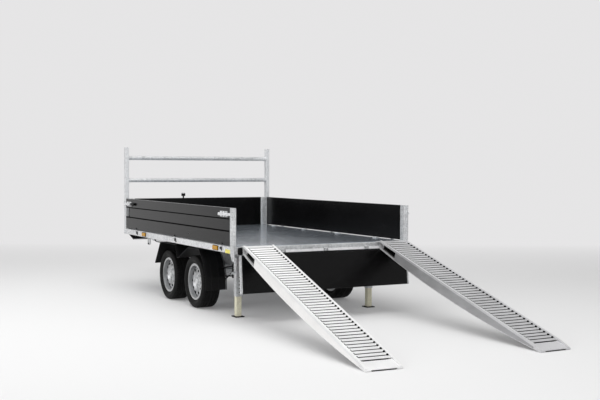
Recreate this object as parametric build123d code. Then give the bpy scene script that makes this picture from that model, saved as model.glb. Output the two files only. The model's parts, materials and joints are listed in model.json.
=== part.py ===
# Tandem-axle tipping trailer with drop sides, a tailgate, a ladder rack and two loading ramps.
# +X is forward, +Y is the trailer's left and +Z is up. All sizes are in millimetres.
# Pieces are drawn with X from the rear face of the rear posts and Y from the centreline.
# When they are written, all of them move to the middle of the trailer's outline.
import os
from math import atan2, cos, degrees, hypot, radians, sin, tan

from build123d import *

# Load bed
BED_WIDTH = 1880
BED_LENGTH = 3143
DECK_TOP = 692
DECK_THICK = 4
SECTION_WALL = 4
RAIL_HEIGHT = 61
RAIL_DEPTH = 50
RAIL_SET_IN = 10
BEAM_SET_IN = 12
BEAM_DEPTH = 60
DECK_SET_IN = 45
REAR_POST_LENGTH = 90
REAR_POST_DEPTH = 35
POST_FOOT = 67
POST_FOOT_WALL = 8
POST_HOLE_R = 9
POST_HOLE_X = 26
POST_HOLE_RISE = 27
POST_REBATE_DEPTH = 32
POST_REBATE_WIDTH = 20
CROSS_WIDTH = 45
CROSS_HEIGHT = 48
CROSS_PITCH = 420
CROSS_FIRST = 240
LONG_WIDTH = 50
LONG_HEIGHT = 65
LONG_Y = 530
LONG_REAR = 310

# Drop sides, headboard and tailgate
BOARD_HEIGHT = 343
BOARD_THICK = 35
BOARD_SET_IN = 5
BOARD_GAP = 5
PLANK_LINES = (131, 243)
PLANK_POCKET = 125
GROOVE_HEIGHT = 8
GROOVE_DEPTH = 6
HEADBOARD_THICK = 35
GATE_THICK = 30
GATE_END_STRIP = 15
GATE_AXIS_X = -3
GATE_AXIS_Z = 655
GATE_FACE = 7
GATE_HANGING = 175
GATE_LIP = 2
GATE_LIP_LOW = 2
GATE_LIP_CUT = 6
BUFFER_WIDTH = 49
BUFFER_HALF_HEIGHT = 34
BUFFER_DROP = 2
BUFFER_DEPTH = 22

# Board hinges
HINGE_OUT = 12
HINGE_DROP = 14
KNUCKLE_R = 8
PIN_R = 4
KNUCKLE_WIDTH = 26
CHEEK_THICK = 5
CHEEK_GAP = 1
PIN_CLEAR = 0.3
STRAP_THICK = 6
STRAP_LENGTH = 18
SIDE_HINGES_IN = (290, 423)
GATE_HINGES = (-450, 0, 450)

# Over-centre latches, from the post's inner face to the pivot and to the hook's end
LATCH_PIVOT = 210
LATCH_HOOK = 30
LATCH_PLATE = 150
LATCH_LAP = 20
LATCH_Z = 982
LATCH_BASE = 12
LATCH_OUT = 34
LATCH_HEIGHT = 26
HOOK_THICK = 9

# Ladder rack
RACK_POST_LENGTH = 60
RACK_POST_DEPTH = 43
RACK_TOP = 1643
RACK_TUBE_R = 24
RACK_RAILS_DOWN = (387, 125)
RACK_FLARE_R = 28
RACK_FLARE = 30

# Chassis
CHASSIS_LOW = 430
CHASSIS_TOP = 550
CHASSIS_FRONT = 2400
REAR_CROSS_X = (337, 437)
REAR_CROSS_Z = (440, 540)
TIP_X = 350
TIP_Z = 600
TIP_PIN_R = 12.5
TIP_EAR_THICK = 10
TIP_EAR_GAP = 4
TIP_EAR_R = 28
REST_LENGTH = 80
REST_REAR = 900
REST_SET_BACK = 100
CROSS_REAR = 760
CROSS_SET_BACK = 220
BEAM_CROSS_WIDTH = 60
CLEAR = 0.3

# Drawbar and coupling
DRAWBAR_WIDTH = 50
DRAWBAR_HEIGHT = 100
DRAWBAR_LAP = 150
DRAWBAR_AHEAD = 1237
DRAWBAR_NOSE_Y = 60
HOUSING_BACK = 120
HOUSING_AHEAD = 80
HITCH_AHEAD = 320
HITCH_Z = 420
BALL_R = 25.3
SOCKET_DEPTH = 24
HEAD_WIDTH = 90
HEAD_HEIGHT = 66
SHAFT_R = 30

# Wheels
WHEELS_X = {"rear": 1133, "front": 1868}
WHEEL_Y = 780
TYRE_R = 262.5
TYRE_WIDTH = 195
TREAD_HALF = 70
TYRE_WALL = 14
TYRE_CROWN = 17
SHOULDER_DROP = 9
SHOULDER_IN = 10
RIM_R = 182.5
RIM_WIDTH = 156
BEAD_R = 168
RIM_WALL = 4
DISC_OUT = 30
BORE_R = 30
HAND_HOLES = 10
HAND_HOLE_R = 11
HAND_HOLE_PCR = 114
ARM_REACH = 150
ARM_RISE = 58
AXLE_SIZE = 80
AXLE_HALF = 600
ARM_THICK = 35
DRUM_R = 115
HUB_R = 72

# Mudguards
GUARD_IN = 690
GUARD_OUT = 905
GUARD_WALL = 5
GUARD_BRACKET = (-70, -90)
GUARD_BRACKET_WIDTH = 40
GUARD_BRACKET_THICK = 15

# The mudguard's line as X from the rear wheel and then from the front wheel, with its height
GUARD_REAR = ((-388, 215), (-385, 340), (-325, 489), (-226, 598), (-205, 606), (67, 606), (347, 480))
GUARD_FRONT = ((-358, 480), (-319, 592), (-305, 606), (132, 606), (146, 598), (312, 365))

# Rear stands
STAND_X = 387
STAND_Y = 724
SLEEVE = 60
SLEEVE_WALL = 4
SLEEVE_Z = (195, 560)
SLEEVE_HOLE_R = 6
SLEEVE_HOLES = 3
SLEEVE_HOLE_FIRST = 40
SLEEVE_HOLE_PITCH = 35
LEG_TOP = 375
FOOT_LENGTH = 100
FOOT_WIDTH = 90
FOOT_THICK = 8

# Jockey wheel
JOCKEY_BACK = 330
JOCKEY_Y = -192
JOCKEY_TUBE_R = 30
JOCKEY_TUBE_Z = (425, 880)
JOCKEY_INNER_R = 24
JOCKEY_INNER_TOP = 660
JOCKEY_FORK_TOP = 236
JOCKEY_WHEEL_R = 100
JOCKEY_WHEEL_WIDTH = 50
JOCKEY_TRAIL = 40
JOCKEY_PIN_R = 8
CRANK_ARM = 85
KNOB_TOP = 1080
KNOB_R = 25

# Tipping ram, on the centreline, with three telescopic stages
RAM_X = 1470
RAM_Z = 350
RAM_BAY = 4
RAM_EYE_AHEAD = 65
RAM_EYE_Z = 580
BARREL_R = 55
RAM_HEAD = 105
STAGE_R = (46, 37)
STAGE_STEP = 20
ROD_R = 28
RAM_EYE_R = 28
RAM_PIN_R = 15
RAM_BASE_R = 34
RAM_HALF_WIDTH = 60
EAR_WALL = 10
EAR_HALF_LENGTH = 35
EAR_DROP = 30
EYE_HALF_WIDTH = 30
CRADLE_BACK = 140
CRADLE_DEPTH = 50

# Ramps, each set in from its side of the bed at the top, and splayed towards +Y at the toe
RAMP_SET_IN = {"left": 225, "right": 203}
RAMP_SPLAY = {"left": 127, "right": 11}
RAMP_TOE_X = -2316
RAMP_TOP_X = -30
RAMP_WIDTH = 300
RAMP_PLATE = 6
RAMP_WEB = 5
RAMP_FLANGE = 45
RAMP_END_DEPTH = 64
RAMP_MID_DEPTH = 96
RAMP_NOSE_R = 7
RAMP_POCKET_START = 90
RAMP_TOE_LENGTH = 132
RAMP_TOP_LENGTH = 30
RUNG_WIDTH = 36
RUNG_GAP = 14
RUNG_HEIGHT = 20
RUNG_DROP = 1
TONGUE_THICK = 6
TONGUE_REACH = 68

# Small fittings
LASHING_COUNT = 4
LASHING_IN = (459, 368)
MARKERS_IN = (440, 683)
MARKER_SIZE = (110, 12, 38)
LAMP_SIZE = (40, 190, 90)
LAMP_Y = 570
PUMP_BOX_AHEAD = 87
PUMP_BOX_LENGTH = 370
PUMP_BOX_HALF = 240
PUMP_BOX_HEIGHT = 230
VALANCE_DROP = 72
VALANCE_CHAMFER = 60

# Levels and planes that follow from the sizes above
RAIL_TOP = DECK_TOP - DECK_THICK
RAIL_LOW = RAIL_TOP - RAIL_HEIGHT
BOARD_LOW = DECK_TOP + BOARD_GAP
BOARD_TOP = BOARD_LOW + BOARD_HEIGHT
POST_OUT = BED_WIDTH / 2
POST_IN = POST_OUT - REAR_POST_DEPTH
RAIL_OUT = POST_OUT - RAIL_SET_IN
RAIL_IN = RAIL_OUT - RAIL_DEPTH
BOARD_OUT = POST_OUT - BOARD_SET_IN
BOARD_IN = BOARD_OUT - BOARD_THICK
RACK_REAR = BED_LENGTH - RACK_POST_LENGTH
RACK_IN = POST_OUT - RACK_POST_DEPTH
RACK_RAILS = [RACK_TOP - down for down in RACK_RAILS_DOWN]
SIDE_AXIS_Y = BOARD_OUT + HINGE_OUT
SIDE_AXIS_Z = BOARD_LOW - HINGE_DROP
LONG_LOW = RAIL_TOP - CROSS_HEIGHT - LONG_HEIGHT
POST_HOLE_Z = RAIL_LOW - POST_FOOT + POST_HOLE_RISE
RAM_EYE_X = CROSS_FIRST + RAM_BAY * CROSS_PITCH + CROSS_WIDTH + RAM_EYE_AHEAD
GATE_HALF = POST_IN - BOARD_GAP
RAMP_TOP_Y = {"left": POST_OUT - RAMP_SET_IN["left"], "right": RAMP_SET_IN["right"] - POST_OUT}
RAMPS = {side: (y, y + RAMP_SPLAY[side]) for side, y in RAMP_TOP_Y.items()}
HINGE_REAR, HINGE_FRONT = SIDE_HINGES_IN[0], BED_LENGTH - SIDE_HINGES_IN[1]
SIDE_HINGES = (HINGE_REAR, (HINGE_REAR + HINGE_FRONT) / 2, HINGE_FRONT)
HINGE_HALF = KNUCKLE_WIDTH / 2 + CHEEK_GAP + CHEEK_THICK
LASHING_PITCH = (BED_LENGTH - sum(LASHING_IN)) / (LASHING_COUNT - 1)
LASHING_X = [LASHING_IN[0] + i * LASHING_PITCH for i in range(LASHING_COUNT)]
MARKERS_X = (MARKERS_IN[0], BED_LENGTH - MARKERS_IN[1])
CHASSIS_REAR = REAR_CROSS_X[1]
RESTS = (REST_REAR, CHASSIS_FRONT - REST_SET_BACK)
BEAM_CROSS_X = (CROSS_REAR, CHASSIS_FRONT - CROSS_SET_BACK)
DRAWBAR_REAR = CHASSIS_FRONT - DRAWBAR_LAP
DRAWBAR_FRONT = BED_LENGTH + DRAWBAR_AHEAD
HITCH_X = DRAWBAR_FRONT + HITCH_AHEAD
JOCKEY_X = DRAWBAR_FRONT - JOCKEY_BACK
PUMP_BOX_X = (BED_LENGTH + PUMP_BOX_AHEAD, BED_LENGTH + PUMP_BOX_AHEAD + PUMP_BOX_LENGTH)


def block(x, y, z):
    """A box between three pairs of limits."""
    size = [abs(b - a) for a, b in (x, y, z)]
    return Pos(*(sum(pair) / 2 for pair in (x, y, z))) * Box(*size)


def rod(start, end, radius):
    """A round bar from one point to another."""
    start, end = Vector(*start), Vector(*end)
    length = (end - start).length
    return Plane(origin=start, z_dir=end - start) * Pos(0, 0, length / 2) * Cylinder(radius, length)


def plate_xz(points, y):
    """A flat plate with its outline in X and Z, between two values of Y."""
    face = make_face(Polyline(*[(px, 0, pz) for px, pz in points], close=True))
    return Pos(0, min(y), 0) * extrude(face, abs(y[1] - y[0]), dir=(0, 1, 0))


def plate_xy(points, z):
    """A flat plate with its outline in X and Y, between two values of Z."""
    face = make_face(Polyline(*[(px, py, 0) for px, py in points], close=True))
    return Pos(0, 0, min(z)) * extrude(face, abs(z[1] - z[0]), dir=(0, 0, 1))


def mirrored(shape):
    """The same shape on the trailer's other side."""
    return mirror(shape, about=Plane.XZ)


def both_sides(shape):
    """A shape with its mirror image, as two solids of one piece."""
    return shape + mirrored(shape)


def spun(points):
    """A solid of revolution about Y, from an outline of (y, radius) points."""
    face = make_face(Polyline(*[(radius, y, 0) for y, radius in points], close=True))
    return revolve(face, Axis.Y)


# Board hinges
# Each is drawn with its pin along X at the origin and the closed board standing up on its -Y side.

def hinge_lug(reach):
    """Two cheeks and a pin, standing out by reach from the face that carries them."""
    outer = HINGE_HALF
    inner = outer - CHEEK_THICK
    lug = rod((-outer, 0, 0), (outer, 0, 0), PIN_R)
    for side in (-1, 1):
        lug += rod((side * inner, 0, 0), (side * outer, 0, 0), KNUCKLE_R)
        lug += block((side * inner, side * outer), (-reach, 0), (-KNUCKLE_R, KNUCKLE_R - 2))
    return lug


def hinge_strap(face, drop):
    """A knuckle on the pin, with a strap up the board's outer face at -Y = face."""
    half = KNUCKLE_WIDTH / 2
    strap = block((-half, half), (-face, -face + STRAP_THICK), (0, drop + STRAP_LENGTH))
    strap += rod((-half, 0, 0), (half, 0, 0), KNUCKLE_R)
    return strap - rod((-half, 0, 0), (half, 0, 0), PIN_R + PIN_CLEAR)


# Load bed

def bed_side_rails():
    channel = block((REAR_POST_LENGTH, RACK_REAR), (RAIL_IN, RAIL_OUT), (RAIL_LOW, RAIL_TOP))
    channel -= block(
        (REAR_POST_LENGTH, RACK_REAR),
        (RAIL_IN, RAIL_OUT - SECTION_WALL),
        (RAIL_LOW + SECTION_WALL, RAIL_TOP - SECTION_WALL),
    )
    return both_sides(channel)


def bed_end_beams():
    rear_x = (BEAM_SET_IN, BEAM_SET_IN + BEAM_DEPTH)
    rear = block(rear_x, (-POST_IN, POST_IN), (RAIL_LOW, RAIL_TOP))
    front = block((RACK_REAR, BED_LENGTH), (-RACK_IN, RACK_IN), (RAIL_LOW, RAIL_TOP))
    return rear + front


def hinge_lugs():
    """The fixed halves of the hinges of both drop sides and of the tailgate."""
    side = hinge_lug(SIDE_AXIS_Y - RAIL_OUT)
    lugs = [both_sides(Pos(x, SIDE_AXIS_Y, SIDE_AXIS_Z) * side) for x in SIDE_HINGES]
    rear = Rot(0, 0, 90) * hinge_lug(BEAM_SET_IN - GATE_AXIS_X)
    lugs += [Pos(GATE_AXIS_X, y, GATE_AXIS_Z) * rear for y in GATE_HINGES]
    return Compound([solid for lug in lugs for solid in lug.solids()])


def cross_places():
    """X of the rear face of each crossmember under the deck."""
    room = RACK_REAR - CROSS_WIDTH - CROSS_FIRST
    count = int(room // CROSS_PITCH) + 1
    return [CROSS_FIRST + i * CROSS_PITCH for i in range(count)]


def bed_crossmembers():
    bars = None
    for x in cross_places():
        bar = block((x, x + CROSS_WIDTH), (-RAIL_IN, RAIL_IN), (RAIL_TOP - CROSS_HEIGHT, RAIL_TOP))
        bars = bar if bars is None else bars + bar
    return bars


def bed_longitudinals():
    bar = block(
        (LONG_REAR, RACK_REAR),
        (LONG_Y - LONG_WIDTH / 2, LONG_Y + LONG_WIDTH / 2),
        (LONG_LOW, LONG_LOW + LONG_HEIGHT),
    )
    bar -= rod(
        (TIP_X, LONG_Y - LONG_WIDTH, TIP_Z), (TIP_X, LONG_Y + LONG_WIDTH, TIP_Z), TIP_PIN_R + PIN_CLEAR
    )
    return both_sides(bar)


def ram_bracket():
    """Two ears under the deck, either side of the ram's eye."""
    inner = EYE_HALF_WIDTH + TIP_EAR_GAP
    top = RAIL_TOP - CROSS_HEIGHT
    x = (RAM_EYE_X - RAM_EYE_AHEAD, RAM_EYE_X + EAR_HALF_LENGTH)
    tie = block(x, (-inner - EAR_WALL, inner + EAR_WALL), (top, RAIL_TOP))
    ear_x = (RAM_EYE_X - EAR_HALF_LENGTH, RAM_EYE_X + EAR_HALF_LENGTH)
    ear = block(ear_x, (inner, inner + EAR_WALL), (RAM_EYE_Z - EAR_DROP, top))
    return tie + both_sides(ear)


def deck_plate():
    return block((DECK_SET_IN, RACK_REAR + 22), (-RACK_IN, RACK_IN), (RAIL_TOP, DECK_TOP))


def corner_posts():
    post = block((0, REAR_POST_LENGTH), (POST_IN, POST_OUT), (RAIL_LOW, BOARD_TOP))
    post -= block((0, POST_REBATE_DEPTH), (POST_IN, POST_IN + POST_REBATE_WIDTH), (RAIL_TOP, BOARD_TOP))
    low = RAIL_LOW - POST_FOOT
    outline = [(0, RAIL_LOW), (REAR_POST_LENGTH, RAIL_LOW), (REAR_POST_LENGTH / 2, low), (0, low)]
    foot = plate_xz(outline, (POST_OUT - POST_FOOT_WALL, POST_OUT))
    foot -= rod((POST_HOLE_X, POST_IN, POST_HOLE_Z), (POST_HOLE_X, POST_OUT, POST_HOLE_Z), POST_HOLE_R)
    return both_sides(post + foot)


def corner_buffers():
    """An oval cap over each end of the tailgate's hinge line."""
    round_r = BUFFER_WIDTH / 2
    y = POST_IN - round_r
    z = GATE_AXIS_Z - BUFFER_DROP
    straight = BUFFER_HALF_HEIGHT - round_r
    x = (BEAM_SET_IN - BUFFER_DEPTH, BEAM_SET_IN)
    cap = block(x, (y - round_r, y + round_r), (z - straight, z + straight))
    for end in (z - straight, z + straight):
        cap += rod((x[0], y, end), (x[1], y, end), round_r)
    return both_sides(cap)


def rack_posts():
    post = block((RACK_REAR, BED_LENGTH), (RACK_IN, POST_OUT), (RAIL_LOW, RACK_TOP))
    return both_sides(post)


def rack_rails():
    x = RACK_REAR + RACK_POST_LENGTH / 2
    rails = None
    for z in RACK_RAILS:
        rail = rod((x, -RACK_IN, z), (x, RACK_IN, z), RACK_TUBE_R)
        flare = Pos(x, RACK_IN - RACK_FLARE / 2, z) * Rot(-90, 0, 0) * Cone(
            RACK_TUBE_R, RACK_FLARE_R, RACK_FLARE
        )
        rail += both_sides(flare)
        rails = rail if rails is None else rails + rail
    return rails


def plank_grooves(low):
    """The heights of each groove between the planks of a board that starts at low."""
    return [(low + line - GROOVE_HEIGHT / 2, low + line + GROOVE_HEIGHT / 2) for line in PLANK_LINES]


def side_board():
    """Three planks, with a pocket in the front end of the middle one."""
    x = (REAR_POST_LENGTH + BOARD_GAP, RACK_REAR - BOARD_GAP)
    board = block(x, (BOARD_IN, BOARD_OUT), (BOARD_LOW, BOARD_TOP))
    lower, upper = plank_grooves(BOARD_LOW)
    for z in (lower, upper):
        board -= block(x, (BOARD_OUT - GROOVE_DEPTH, BOARD_OUT), z)
    pocket_y = (BOARD_IN + GROOVE_DEPTH, BOARD_OUT)
    return board - block((x[1] - PLANK_POCKET, x[1]), pocket_y, (lower[1], upper[0]))


def latch(post_face, forward):
    """A flat over-centre latch whose hook lies over the post's outer face."""
    pivot = post_face - forward * LATCH_PIVOT
    plate_end = pivot + forward * LATCH_PLATE
    z = (LATCH_Z - LATCH_HEIGHT, LATCH_Z + LATCH_HEIGHT)
    lever_z = (LATCH_Z - LATCH_HEIGHT / 2, LATCH_Z + LATCH_HEIGHT / 2)
    body = block((pivot, plate_end), (BOARD_OUT, BOARD_OUT + LATCH_BASE), z)
    body += block((pivot, plate_end), (BOARD_OUT + LATCH_BASE, BOARD_OUT + LATCH_OUT), lever_z)
    hook_y = (POST_OUT + BOARD_SET_IN, POST_OUT + BOARD_SET_IN + HOOK_THICK)
    hook_x = (plate_end - forward * LATCH_LAP, post_face + forward * LATCH_HOOK)
    return body + block(hook_x, hook_y, lever_z)


def side_fittings():
    parts = latch(REAR_POST_LENGTH, -1) + latch(RACK_REAR, 1)
    strap = hinge_strap(HINGE_OUT, HINGE_DROP)
    for x in SIDE_HINGES:
        parts += Pos(x, SIDE_AXIS_Y, SIDE_AXIS_Z) * strap
    return parts


def headboard():
    front = BED_LENGTH - BEAM_SET_IN / 2
    x = (front - HEADBOARD_THICK, front)
    board = block(x, (-RACK_IN, RACK_IN), (DECK_TOP, BOARD_TOP))
    for z in plank_grooves(BOARD_LOW):
        board -= block((front - GROOVE_DEPTH, front), (-RACK_IN, RACK_IN), z)
    return board


def hang_gate(shape):
    """Turn a piece drawn on the closed tailgate, about its hinge, to where it hangs."""
    return Pos(GATE_AXIS_X, 0, GATE_AXIS_Z) * Rot(0, -GATE_HANGING, 0) * shape


def tailgate():
    low = BOARD_LOW - GATE_AXIS_Z
    x = (GATE_FACE, GATE_FACE + GATE_THICK)
    half = GATE_HALF - GATE_END_STRIP
    board = block(x, (-half, half), (low, low + BOARD_HEIGHT))
    for z in plank_grooves(low):
        board -= block((x[0], x[0] + GROOVE_DEPTH), (-half, half), z)
    return hang_gate(board)


def tailgate_lip():
    """A strip that covers the slot under the board, cut away at the hinges and the buffers."""
    half = POST_IN - BUFFER_WIDTH - BOARD_GAP
    x, z = (GATE_FACE, GATE_FACE + GATE_LIP), (GATE_LIP_LOW, BOARD_LOW - GATE_AXIS_Z)
    lip = block(x, (-half, half), z)
    cut = HINGE_HALF + GATE_LIP_CUT
    for y in GATE_HINGES:
        lip -= block(x, (y - cut, y + cut), z)
    return hang_gate(lip)


def tailgate_fittings():
    low = BOARD_LOW - GATE_AXIS_Z
    x = (GATE_FACE, GATE_FACE + GATE_THICK)
    strip = block(x, (GATE_HALF - GATE_END_STRIP, GATE_HALF), (low, low + BOARD_HEIGHT))
    parts = both_sides(strip)
    strap = Rot(0, 0, 90) * hinge_strap(GATE_FACE, low)
    for y in GATE_HINGES:
        parts += Pos(0, y, 0) * strap
    return hang_gate(parts)


def front_valance():
    half = RACK_IN
    low = RAIL_LOW - VALANCE_DROP
    face = make_face(
        Polyline(
            (0, -half, RAIL_LOW),
            (0, half, RAIL_LOW),
            (0, half - VALANCE_CHAMFER, low),
            (0, VALANCE_CHAMFER - half, low),
            close=True,
        )
    )
    return Pos(RACK_REAR + RACK_POST_LENGTH / 2, 0, 0) * extrude(face, SECTION_WALL, dir=(1, 0, 0))


def side_markers():
    length, out, height = MARKER_SIZE
    z = (RAIL_LOW + RAIL_TOP) / 2
    lamps = None
    for x in MARKERS_X:
        lamp = block(
            (x - length / 2, x + length / 2), (RAIL_OUT, RAIL_OUT + out), (z - height / 2, z + height / 2)
        )
        lamps = lamp if lamps is None else lamps + lamp
    return both_sides(lamps)


def lashing_rings():
    rings = None
    for x in LASHING_X:
        base = block((x - 35, x + 35), (BOARD_IN - 50, BOARD_IN - 20), (DECK_TOP, DECK_TOP + 5))
        ring = Pos(x, BOARD_IN - 52, DECK_TOP + 7) * Torus(22, 5)
        rings = base + ring if rings is None else rings + base + ring
    return both_sides(rings)


# Chassis

def chassis_rails():
    rail = block(
        (CHASSIS_REAR, CHASSIS_FRONT),
        (LONG_Y - LONG_WIDTH / 2, LONG_Y + LONG_WIDTH / 2),
        (CHASSIS_LOW, CHASSIS_TOP),
    )
    for x in RESTS:
        rail += block(
            (x, x + REST_LENGTH),
            (LONG_Y - LONG_WIDTH / 2, LONG_Y + LONG_WIDTH / 2),
            (CHASSIS_TOP, LONG_LOW - CLEAR),
        )
    return both_sides(rail)


def tip_ears():
    """Two ears beside each bed beam, with the pin that the bed tips on."""
    ears = None
    half = LONG_WIDTH / 2 + TIP_EAR_GAP
    for side in (-1, 1):
        near = LONG_Y + side * half
        far = near + side * TIP_EAR_THICK
        ear = block((TIP_X - TIP_EAR_R, TIP_X + TIP_EAR_R), (near, far), (REAR_CROSS_Z[1], TIP_Z))
        ear += rod((TIP_X, near, TIP_Z), (TIP_X, far, TIP_Z), TIP_EAR_R)
        ears = ear if ears is None else ears + ear
    pin_half = half + TIP_EAR_THICK
    ears += rod((TIP_X, LONG_Y - pin_half, TIP_Z), (TIP_X, LONG_Y + pin_half, TIP_Z), TIP_PIN_R)
    return both_sides(ears)


def rear_crossmember():
    half = STAND_Y - SLEEVE / 2
    return block(REAR_CROSS_X, (-half, half), REAR_CROSS_Z) + tip_ears()


def ram_cradle():
    """A crossmember with two ears that carry the ram's lower pin."""
    half = LONG_Y - LONG_WIDTH / 2
    front = RAM_X - CRADLE_BACK + CRADLE_DEPTH
    bar = block((front - CRADLE_DEPTH, front), (-half, half), REAR_CROSS_Z)
    outline = [
        (front, REAR_CROSS_Z[1]),
        (front, REAR_CROSS_Z[0]),
        (RAM_X - 30, RAM_Z - 38),
        (RAM_X + 30, RAM_Z - 38),
        (RAM_X + 34, RAM_Z + 30),
        (RAM_X - 20, REAR_CROSS_Z[1]),
    ]
    near = RAM_HALF_WIDTH + TIP_EAR_GAP
    ear = plate_xz(outline, (near, near + EAR_WALL))
    pin = rod((RAM_X, -near - EAR_WALL, RAM_Z), (RAM_X, near + EAR_WALL, RAM_Z), RAM_PIN_R)
    return bar + both_sides(ear) + pin


def chassis_crossmembers():
    half = LONG_Y - LONG_WIDTH / 2
    bars = None
    for x in BEAM_CROSS_X:
        bar = block((x, x + BEAM_CROSS_WIDTH), (-half, half), REAR_CROSS_Z)
        bars = bar if bars is None else bars + bar
    return bars


def drawbar_beams():
    """Two beams that run in from the chassis rails to the nose, seen as a V from above."""
    run = DRAWBAR_FRONT - DRAWBAR_REAR
    in_step = LONG_Y - LONG_WIDTH - DRAWBAR_NOSE_Y
    half = DRAWBAR_WIDTH / 2 * hypot(run, in_step) / run
    rear_y = LONG_Y - LONG_WIDTH / 2 - half
    outline = [
        (DRAWBAR_REAR, rear_y - half),
        (DRAWBAR_REAR, rear_y + half),
        (DRAWBAR_FRONT, DRAWBAR_NOSE_Y + half),
        (DRAWBAR_FRONT, DRAWBAR_NOSE_Y - half),
    ]
    return both_sides(plate_xy(outline, (CHASSIS_LOW, CHASSIS_LOW + DRAWBAR_HEIGHT)))


def coupling_head():
    z = HITCH_Z + 22
    low = CHASSIS_LOW + DRAWBAR_HEIGHT
    ahead = DRAWBAR_FRONT + HOUSING_AHEAD
    housing = block((DRAWBAR_FRONT - HOUSING_BACK, ahead), (-70, 70), (low, low + 60))
    housing += block((DRAWBAR_FRONT, ahead), (-70, 70), (HITCH_Z, low))
    shaft = rod((ahead, 0, z), (HITCH_X - 60, 0, z), SHAFT_R)
    top = z + HEAD_HEIGHT / 2
    bottom = HITCH_Z - 4
    head = block((HITCH_X - 90, HITCH_X), (-HEAD_WIDTH / 2, HEAD_WIDTH / 2), (bottom, top))
    head += rod((HITCH_X, 0, bottom), (HITCH_X, 0, top), HEAD_WIDTH / 2)
    socket = rod((HITCH_X, 0, bottom), (HITCH_X, 0, bottom + SOCKET_DEPTH), BALL_R)
    socket += Pos(HITCH_X, 0, bottom + SOCKET_DEPTH) * Sphere(BALL_R)
    grip = plate_xz(
        [(HITCH_X - 30, top), (HITCH_X - 90, top), (HITCH_X - 190, top + 70), (HITCH_X - 150, top + 78)],
        (-14, 14),
    )
    return housing + shaft + (head - socket) + grip


def jockey_outer():
    """The clamped outer tube, with its clamp to the drawbar, crank and knob."""
    low, high = JOCKEY_TUBE_Z
    tube = rod((JOCKEY_X, JOCKEY_Y, low), (JOCKEY_X, JOCKEY_Y, high), JOCKEY_TUBE_R)
    tube -= rod(
        (JOCKEY_X, JOCKEY_Y, low), (JOCKEY_X, JOCKEY_Y, high - 10), JOCKEY_INNER_R + CLEAR
    )
    run = DRAWBAR_FRONT - DRAWBAR_REAR
    in_step = LONG_Y - LONG_WIDTH - DRAWBAR_NOSE_Y
    beam_y = DRAWBAR_NOSE_Y + in_step * (DRAWBAR_FRONT - JOCKEY_X) / run
    arm_z = (CHASSIS_LOW + 10, CHASSIS_LOW + DRAWBAR_HEIGHT)
    arm = block((JOCKEY_X - 40, JOCKEY_X + 40), (JOCKEY_Y - 38, -beam_y - 8), arm_z)
    arm -= rod((JOCKEY_X, JOCKEY_Y, arm_z[0]), (JOCKEY_X, JOCKEY_Y, arm_z[1]), JOCKEY_TUBE_R)
    outline = [
        (DRAWBAR_REAR, -(DRAWBAR_NOSE_Y + in_step)),
        (DRAWBAR_FRONT, -DRAWBAR_NOSE_Y),
        (DRAWBAR_FRONT, 0),
        (DRAWBAR_REAR, 0),
    ]
    half = DRAWBAR_WIDTH / 2 * hypot(run, in_step) / run
    arm -= Pos(0, -half, 0) * plate_xy(outline, arm_z)
    spindle = rod((JOCKEY_X, JOCKEY_Y, high), (JOCKEY_X, JOCKEY_Y, high + 60), 8)
    knob_x = JOCKEY_X + CRANK_ARM
    crank = block((JOCKEY_X - 10, knob_x + 10), (JOCKEY_Y - 12, JOCKEY_Y + 12), (high + 52, high + 60))
    stem = rod((knob_x, JOCKEY_Y, high + 60), (knob_x, JOCKEY_Y, KNOB_TOP - 40), 9)
    knob = rod((knob_x, JOCKEY_Y, KNOB_TOP - 45), (knob_x, JOCKEY_Y, KNOB_TOP), KNOB_R)
    return tube + arm + spindle + crank + stem + fillet(knob.edges().group_by(Axis.Z)[-1], 18)


def axle(x):
    """A rubber-sprung axle: cross tube, trailing arms, brake drums and hubs."""
    tube_x, tube_z = x + ARM_REACH, TYRE_R + ARM_RISE
    half = AXLE_SIZE / 2
    tube = block((tube_x - half, tube_x + half), (-AXLE_HALF, AXLE_HALF), (tube_z - half, tube_z + half))
    seat_y = (LONG_Y - LONG_WIDTH / 2, LONG_Y + LONG_WIDTH / 2)
    side = block((tube_x - 60, tube_x + 60), seat_y, (tube_z + half, CHASSIS_LOW))
    arm_y = (AXLE_HALF, AXLE_HALF + ARM_THICK)
    outline = [
        (tube_x + half, tube_z - half),
        (tube_x + half, tube_z + half),
        (tube_x - half, tube_z + half),
        (x - 35, TYRE_R + 30),
        (x - 35, TYRE_R - 30),
        (x + 20, TYRE_R - 38),
    ]
    side += plate_xz(outline, arm_y)
    drum_in = arm_y[1]
    side += rod((x, drum_in, TYRE_R), (x, drum_in + 65, TYRE_R), DRUM_R)
    side += rod((x, drum_in, TYRE_R), (x, WHEEL_Y + DISC_OUT - CLEAR, TYRE_R), HUB_R)
    side += rod((x, drum_in, TYRE_R), (x, WHEEL_Y + DISC_OUT + 14, TYRE_R), BORE_R - CLEAR)
    return tube + both_sides(side)


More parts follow.
